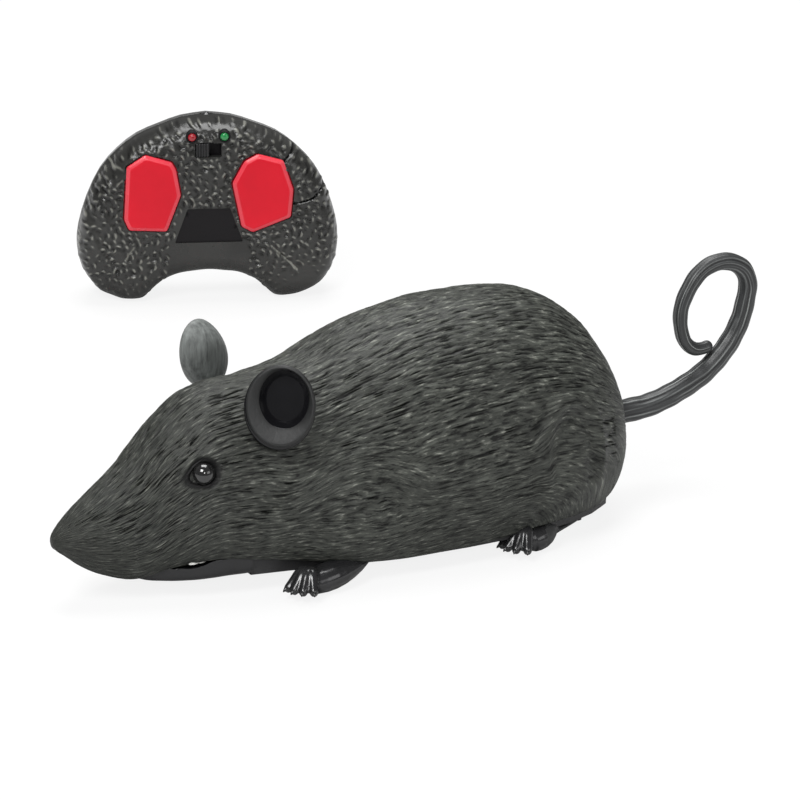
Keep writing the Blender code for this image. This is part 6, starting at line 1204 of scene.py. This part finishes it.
def rounded(points, radius, steps=5):
    """An outline with its corners rounded off."""
    out = []
    count = len(points)
    for i in range(count):
        before, here, after = points[i - 1], points[i], points[(i + 1) % count]
        reach = min(radius, 0.4 * np.linalg.norm(before - here), 0.4 * np.linalg.norm(after - here))
        start, end = here + unit(before - here) * reach, here + unit(after - here) * reach
        for t in np.linspace(0.0, 1.0, steps):
            out.append((1 - t) ** 2 * start + 2 * t * (1 - t) * here + t**2 * end)
    return np.array(out)


def spread(loop, spacing):
    """The same loop with points about that far apart, corners kept."""
    out = []
    for i in range(len(loop)):
        start, end = loop[i], loop[(i + 1) % len(loop)]
        steps = max(1, int(round(np.linalg.norm(end - start) / spacing)))
        out += [start + (end - start) * k / steps for k in range(steps)]
    return np.array(out)


def rectangle(x, z, half_x, half_z):
    return np.array([(x + right * half_x, z + up * half_z) for right, up in ((-1, -1), (1, -1), (1, 1), (-1, 1))])


def round_hole(x, z, radius, count=36):
    turns = full_turn(count)
    return np.stack([x + radius * np.cos(turns), z + radius * np.sin(turns)], -1)


BUTTONS = {"left": sized(LEFT_BUTTON), "right": sized(RIGHT_BUTTON)}
PANEL_OUTLINE = sized(PANEL)


def segment_distance(points, start, end):
    start, end = np.array(start), np.array(end)
    way = end - start
    share = np.clip(((points - start) @ way) / (way @ way), 0.0, 1.0)
    return np.linalg.norm(points - start - share[:, None] * way, axis=1)


def line_distance(points, line):
    return np.min([segment_distance(points, line[i], line[i + 1]) for i in range(len(line) - 1)], axis=0)


def pebbles(flat, keep):
    """Short raised grains in many directions over the handset's face, with a dent beside each."""
    rng = np.random.default_rng(PEBBLE_SEED)
    relief = np.zeros(len(flat))
    placed = []
    for _ in range(PEBBLES * 30):
        if len(placed) == PEBBLES:
            break
        spot = np.array([rng.uniform(*PEBBLE_X), rng.uniform(*PEBBLE_Z)])
        if not keep(spot) or (placed and np.min(np.linalg.norm(np.array(placed) - spot, axis=1)) < PEBBLE_GAP):
            continue
        placed.append(spot)
        turn = rng.normal(0.6 * math.sin(spot[0] * 0.09) - 0.7, 0.75)
        length, width, height = (rng.uniform(*span) for span in (PEBBLE_LENGTH, PEBBLE_WIDTH, PEBBLE_HEIGHT))
        near = np.flatnonzero(np.abs(flat - spot).max(axis=1) < 3.2)
        offset = flat[near] - spot
        along = offset[:, 0] * math.cos(turn) + offset[:, 1] * math.sin(turn)
        across = -offset[:, 0] * math.sin(turn) + offset[:, 1] * math.cos(turn) + 0.16 * along**2
        grain = np.exp(-(along / length) ** 2 - (across / width) ** 2)
        dent = np.exp(-(along / (length * 1.1)) ** 2 - ((across + width * 1.9) / (width * 1.3)) ** 2)
        relief[near] += height * (grain - 0.7 * dent)
    return relief


# how many grains the handset's face takes, their least distance, the area, and the random draw
PEBBLES, PEBBLE_GAP, PEBBLE_X, PEBBLE_Z, PEBBLE_SEED = 700, 2.0, (-46.0, 46.0), (4.0, 67.0), 73
PEBBLE_LENGTH, PEBBLE_WIDTH, PEBBLE_HEIGHT = (0.60, 1.15), (0.42, 0.54), (0.30, 0.60)
SEAMS = (((24.0, 37.0), (31.5, 36.6), (37.5, 38.5), (42.5, 43.0)), ((25.6, 51.8), (30.5, 55.4)))
SCRATCHES = (((22.0, 21.0), (31.0, 12.0)), ((-26.5, 21.5), (-29.5, 17.0)), ((-37.5, 52.0), (-31.0, 51.0)))


def face_relief(points):
    """Form and texture of the front shell's skin at points given as x, y, z."""
    flat = points[:, [0, 2]]
    x, z = flat[:, 0], flat[:, 1]
    form = 0.28 * noise(points, 13.0, 71) + 0.12 * noise(points, 5.0, 72)
    # a raised plate at the upper right, ended by a seam
    form += 0.55 * fade(x, 22.0, 27.0) * fade(z, 35.8, 38.5) * fade(z - x * 0.85, 34.0, 28.0)
    for lines, depth, width in ((SEAMS, 0.95, 0.42), (SCRATCHES, 0.50, 0.38)):
        for line in lines:
            form -= depth * hump(line_distance(flat, line), width)
    # facets down the left shoulder
    form -= 0.55 * np.abs(np.sin((x * 0.35 + z * 0.20))) * fade(x, -30.0, -36.0)
    rough = np.maximum(fade(z, 21.5, 23.5), fade(np.abs(x), 12.5, 15.5))
    rough = rough * (1.0 - hump(np.hypot(x - 34.0, z - 6.0), 9.0)) * (1.0 - 0.5 * fade(z, 11.0, 6.0))
    smooth_panel = grown(PANEL_OUTLINE, 0.8)

    def keep(spot):
        below_panel = spot[1] < 22.5 and abs(spot[0]) < 14.0
        return not below_panel and not inside_loop(spot[None, :], smooth_panel)[0]

    return form, pebbles(flat, keep), rough


# points round the front shell, its rows outside and inside, the points' distance on face, panel, back and edges,
# and the gap round each button and each lamp
SHELL_POINTS, SHELL_ROWS, SHELL_INNER_ROWS = 560, 30, 6
FACE_SPACING, PANEL_SPACING, BACK_SPACING, EDGE_SPACING = 0.38, 1.5, 3.0, 0.5
BUTTON_GAP, LAMP_GAP = 0.3, 0.5


def join_loops(form, here, there, count):
    """A band of faces between two loops that lie one after another in the form's points."""
    form.faces += [(here + i, here + (i + 1) % count, there + (i + 1) % count, there + i) for i in range(count)]


def make_handset_front():
    count, rows, inner_rows = SHELL_POINTS, SHELL_ROWS, SHELL_INNER_ROWS
    outer = handset_rings(count, rows)
    inner = handset_rings(count, inner_rows, HANDSET_WALL)
    inner[0, :, 1] = 0.0
    wells = [spread(rounded(grown(outline, BUTTON_GAP), 0.9), EDGE_SPACING) for outline in BUTTONS.values()]
    slot_outline = rectangle(0.0, SLOT_UP, SLOT_LENGTH / 2.0, SLOT_HEIGHT / 2.0)
    slot = spread(rounded(slot_outline, 0.5, 4), EDGE_SPACING)
    lamps = [round_hole(x, LAMP_UP, LAMP_RADIUS + LAMP_GAP) for x in (-LAMP_APART / 2.0, LAMP_APART / 2.0)]
    panel = spread(rounded(PANEL_OUTLINE, 0.5, 3), EDGE_SPACING)
    holes = wells + [slot] + lamps
    form = Form()
    form.loft(outer, False, False)
    face, triangles = filled(outer[-1][:, [0, 2]], holes + [panel], FACE_SPACING)
    face_first = form.add(at_depth(face, FACE_Y), triangles.tolist())
    skin_count, floor_start = form.count, len(form.faces)
    # the recessed panel
    floor, floor_triangles = filled(panel, [], PANEL_SPACING)
    panel_first = form.add(at_depth(floor, FACE_Y + PANEL_RECESS), floor_triangles.tolist())
    floor_end = len(form.faces)
    back, back_triangles = filled(inner[-1][:, [0, 2]], holes, BACK_SPACING)
    inner_first = form.loft(inner[::-1], False, False)
    back_first = form.add(at_depth(back, FACE_Y + HANDSET_WALL), back_triangles.tolist())
    # the holes' walls, the panel's edge and the shell's rear edge
    first = count
    for hole in holes:
        join_loops(form, face_first + first, back_first + first, len(hole))
        first += len(hole)
    join_loops(form, face_first + first, panel_first, len(panel))
    join_loops(form, 0, inner_first + (inner_rows - 1) * count, count)
    points = form.points()
    # the loft's last ring and the face's boundary are the same points, and so are the inner ones
    skin = points[:skin_count].copy()
    relief_form, relief, rough = face_relief(skin)
    inward = handset_outline(count)[1]
    out_way = np.zeros_like(skin)
    for row in range(rows):
        lean = 1.0 - fade(row / (rows - 1), 0.35, 1.0)
        out_way[row * count:(row + 1) * count] = at_depth(-inward * lean, -math.sqrt(max(1.0 - lean**2, 0.0)))
    out_way[face_first:, 1] = -1.0
    hold = np.ones(skin_count)
    hold[:rows * count] = np.repeat(fade(np.arange(rows), 1.0, 7.0), count)
    keep_off = np.ones(skin_count)
    flat = skin[:, [0, 2]]
    for loop in holes + [panel]:
        for corner in loop[::2]:
            close = np.abs(flat - corner).max(axis=1) < 1.2
            gap = np.linalg.norm(flat[close] - corner, axis=1)
            keep_off[close] = np.minimum(keep_off[close], fade(gap, 0.1, 1.0))
    grain = relief * rough * keep_off
    points[:skin_count] = skin + out_way * ((relief_form + grain) * hold)[:, None]
    # hole walls follow the face, and the sole stays flat
    points[:, 2] = np.maximum(points[:, 2], 0.0)
    piece = new_piece("handset_front", in_handset(points), form.faces, HANDSET_PITTED, 40.0)
    # painted highlight on the raised grains, painted shade in the dents beside them and in the seams' creases, and
    # paler along the scratches
    grain_shade_highlight = np.full(len(points), 0.5)
    grain_shade_highlight[:skin_count] = 0.46 + grain * hold
    for lines, amount in ((SEAMS, -0.5), (SCRATCHES, 0.4)):
        for line in lines:
            grain_shade_highlight[:skin_count] += amount * hump(line_distance(flat, line), 0.40)
    add_values(piece, "shade_highlight", grain_shade_highlight)
    places = np.arange(len(form.faces))
    second_finish(piece, PANEL_GREY, (places >= floor_start) & (places < floor_end))
    weld(piece)
    settle(piece, "handset", ["handset_front_shell"])


make_handset_front()


# how far outside its outline each ring of a button lies, and how far behind the button's front
BUTTON_PROFILE = (
    (-4.6, 0.02), (-3.4, 0.0), (-2.2, 0.0), (-1.75, 0.02), (-1.45, 0.10), (-0.45, 0.62), (-0.16, 0.86),
    (-0.22, 1.15), (-0.22, 2.8), (0.9, 3.4), (0.9, 4.7),
)
BEVEL_START, BEVEL_END = 4, 6


def make_buttons():
    for side, outline in BUTTONS.items():
        loops = [rounded(grown(outline, amount), 0.8 if amount > -2.0 else 0.4, 6) for amount, _ in BUTTON_PROFILE]
        form = Form()
        form.loft([at_depth(loop, FACE_Y - BUTTON_PROUD + depth) for loop, (_, depth) in zip(loops, BUTTON_PROFILE)])
        piece = form.piece(f"button_cap_{side}", in_handset, BUTTON_RED, 24.0)
        places = np.arange(len(form.faces)) // len(loops[0])
        # the bevel faces get the paler red as a painted highlight
        second_finish(piece, BUTTON_BEVEL_HIGHLIGHT, (places >= BEVEL_START) & (places < BEVEL_END))
        settle(piece, f"{side}_button", [f"button_{side}"])


make_buttons()


# half the knob's length, its ribs, the bevel of its ends, and how much smaller those ends are
SLIDER_HALF, SLIDER_RIBS, SLIDER_BEVEL, SLIDER_SQUEEZE = 2.3, 5, 0.15, 0.96


def make_slider():
    half, height = SLIDER_HALF, SLOT_HEIGHT / 2.0 - 0.3
    middle = -SLOT_LENGTH / 2.0 + half + 0.3
    front, back = FACE_Y - 0.65, FACE_Y + HANDSET_WALL + 2.0
    pitch = 2.0 * half / SLIDER_RIBS
    outline = [(middle - half, back)]
    for i in range(SLIDER_RIBS):
        left = middle - half + i * pitch
        outline += [(left + 0.04, front + 0.15), (left + 0.12, front), (left + pitch * 0.52, front),
                    (left + pitch * 0.60, front + 0.15), (left + pitch * 0.66, front + 0.55),
                    (left + pitch * 0.94, front + 0.55)]
    outline.append((middle + half, back))
    rings = []
    for rise, squeeze in ((-height, SLIDER_SQUEEZE), (-height + SLIDER_BEVEL, 1.0), (height - SLIDER_BEVEL, 1.0),
                          (height, SLIDER_SQUEEZE)):
        rings.append([(middle + (x - middle) * squeeze, back + (y - back) * squeeze, SLOT_UP + rise)
                      for x, y in outline])
    form = Form()
    form.loft(rings)
    settle(form.piece("slider_knob", in_handset, CHASSIS_BLACK, 30.0), "slide_knob",
           ["slide_switch_knob"])
    # the switch's own black frame behind the slot
    outer = rectangle(0.0, SLOT_UP, SLOT_LENGTH / 2.0 + 1.4, SLOT_HEIGHT / 2.0 + 0.1)
    inner = rectangle(0.0, SLOT_UP, SLOT_LENGTH / 2.0 - 0.1, SLOT_HEIGHT / 2.0 - 0.1)
    near, far = FACE_Y + HANDSET_WALL + 0.15, FACE_Y + HANDSET_WALL + 2.2
    form = Form()
    form.loft([at_depth(loop, y) for loop, y in ((outer, far), (outer, near), (inner, near), (inner, far - 0.2))])
    settle(form.piece("slide_switch_frame", in_handset, PANEL_GREY, 30.0), "handset")


make_slider()


# how far behind its front each ring lies, and its radius
LENS_PROFILE = ((7.0, 1.6), (1.5, 1.6), (0.9, 1.53), (0.45, 1.33), (0.15, 0.92), (0.0, 0.40))
SHADE_COLLAR_PROFILE = ((6.0, 2.15), (0.7, 2.15), (0.5, 2.05), (0.5, 1.7), (0.9, 1.62), (6.0, 1.62))


def make_lamps():
    """Domed lenses, each in a black collar that stands as painted shade in the gap round it."""
    turns = full_turn(40)
    for name, x, finish in (("red", -LAMP_APART / 2.0, LAMP_RED), ("green", LAMP_APART / 2.0, LAMP_GREEN)):
        lens, shade_collar = ([oval((x, FACE_Y - 0.75 + along, LAMP_UP), (0.0, -1.0, 0.0), radius, radius, turns)
                         for along, radius in profile] for profile in (LENS_PROFILE, SHADE_COLLAR_PROFILE))
        form = Form()
        form.loft(lens)
        lens_faces = len(form.faces)
        form.loft(shade_collar, False, False)
        piece = form.piece(f"lamp_lens_{name}", in_handset, finish, 60.0)
        # the black collar is painted shade in the gap round the lens
        second_finish(piece, PANEL_GREY, np.arange(len(form.faces)) >= lens_faces)
        settle(piece, "handset", [f"lamp_{name}"])


make_lamps()


# CAD nodes that keep their own shape
CARRIED = {
    CHASSIS_BLACK: ("chassis_base", "battery_door", "power_switch_case", "power_switch_knob", "caster_fork"),
    STEEL: ("chassis_screw_1", "chassis_screw_2", "chassis_screw_3", "battery_door_screw", "rear_axle", "gear_pin_1",
            "gear_pin_2", "caster_pin", "handset_screw_1", "handset_screw_2", "handset_door_screw"),
    MOTOR_STEEL: ("motor_can",),
    GEAR_WHITE: ("axle_gear", "compound_gear_1", "compound_gear_2", "motor_pinion", "gearbox_plate_inner",
                 "gearbox_plate_outer", "rear_hub_left", "rear_hub_right", "caster_wheel"),
    RUBBER: ("rear_tyre_left", "rear_tyre_right"),
    CELL_SLEEVE: ("battery_cell_1", "battery_cell_2", "battery_cell_3", "handset_cell_1", "handset_cell_2"),
    SPRING_METAL: ("battery_contact_left", "battery_contact_right", "handset_contact"),
    BOARD_GREEN: ("receiver_board", "handset_board"),
    PAD_GREY: ("rubber_pad",),
    PAW_BLACK: ("infrared_lamp",),
    HANDSET_GREY: ("handset_back_shell", "handset_battery_door"),
}
for carried_finish, carried_names in CARRIED.items():
    for carried_name in carried_names:
        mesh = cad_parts[carried_name].data
        mesh.materials.clear()
        mesh.materials.append(carried_finish)


# Floor, light and camera
FLOOR_REACH, FLOOR_COLOUR, FLOOR_GLOW, FLOOR_GLOW_SHARE = 6.0, (0.62, 0.62, 0.62, 1.0), 1.07, 0.80
WORLD_LIGHT = 0.20
# name, place, what it points at, size and power, in metres and watts
LIGHTS = (
    ("key", (-0.75, -0.55, 1.0), (0.0, 0.0, 0.03), (0.5, 0.5), 11.0),
    ("front_fill", (0.55, -1.3, 0.6), (0.0, 0.0, 0.03), (0.8, 0.5), 2.6),
    ("glint", (-0.42, -1.15, 0.62), (0.0, 0.0, 0.04), (0.22, 0.22), 2.2),
    ("top", (0.20, 0.30, 1.3), (0.0, 0.0, 0.0), (0.9, 0.9), 17.0),
)
# the camera's turn and rise in degrees, its distance in metres, and the lens and sensor in mm
CAMERA_TURN, CAMERA_RISE, CAMERA_AWAY, LENS, SENSOR = -29.0, 21.0, 3.5, 475.6, 36.0
# the point of the rat that is aimed past, in mm, and how far past it to the right and up, in metres
AIM_POINT, AIM_RIGHT, AIM_UP = (100.0, 0.0, 30.0), 0.02636, 0.02205


def make_stage():
    mesh = bpy.data.meshes.new("floor")
    corners = [(-FLOOR_REACH, -FLOOR_REACH, 0.0), (FLOOR_REACH, -FLOOR_REACH, 0.0), (FLOOR_REACH, FLOOR_REACH, 0.0),
               (-FLOOR_REACH, FLOOR_REACH, 0.0)]
    mesh.from_pydata(corners, [], [(0, 1, 2, 3)])
    finish = bpy.data.materials.new("pale_floor")
    finish.use_nodes = True
    tree = finish.node_tree
    tree.nodes.clear()
    # the floor takes the shadow, and part of what the camera sees of it is its own pale glow
    share = range_node(tree, add_node(tree, "LightPath", "Is Camera Ray", {}), 0.0, FLOOR_GLOW_SHARE, 0.0, 1.0)
    matte = add_node(tree, "BsdfDiffuse", 0, {"Color": FLOOR_COLOUR})
    glow = add_node(tree, "Emission", 0, {"Strength": FLOOR_GLOW})
    mix = add_node(tree, "MixShader", 0, {0: share, 1: matte, 2: glow})
    link(tree, mix, tree.nodes.new("ShaderNodeOutputMaterial").inputs["Surface"])
    mesh.materials.append(finish)
    add_object("floor", mesh)


def make_world():
    world = bpy.data.worlds.new("studio")
    bpy.context.scene.world = world
    world.use_nodes = True
    tree = world.node_tree
    background = tree.nodes["Background"]
    strength = range_node(tree, add_node(tree, "LightPath", "Is Camera Ray", {}), WORLD_LIGHT, 1.0, 0.0, 1.0)
    link(tree, strength, background.inputs["Strength"])
    background.inputs["Color"].default_value = (1.0, 1.0, 1.0, 1.0)


def add_lamp(name, place, target, size, power):
    data = bpy.data.lights.new(name, "AREA")
    data.shape = "RECTANGLE"
    data.size, data.size_y = size
    data.energy = power
    lamp = add_object(name, data)
    lamp.location = place
    lamp.rotation_euler = (Vector(target) - Vector(place)).to_track_quat("-Z", "Y").to_euler()


def add_camera():
    turn, rise = math.radians(CAMERA_TURN), math.radians(CAMERA_RISE)
    away = Vector((math.sin(turn) * math.cos(rise), -math.cos(turn) * math.cos(rise), math.sin(rise)))
    right = Vector((math.cos(turn), math.sin(turn), 0.0))
    up = away.cross(right)
    aim = Vector(in_rat([AIM_POINT])[0]) + right * AIM_RIGHT + up * AIM_UP
    data = bpy.data.cameras.new("camera")
    data.sensor_width, data.lens = SENSOR, LENS
    camera = add_object("camera", data)
    camera.location = aim + away * CAMERA_AWAY
    camera.rotation_euler = (-away).to_track_quat("-Z", "Y").to_euler()
    bpy.context.scene.camera = camera


make_stage()
make_world()
add_camera()
for light in LIGHTS:
    add_lamp(*light)
bpy.context.scene.view_settings.view_transform = "Standard"
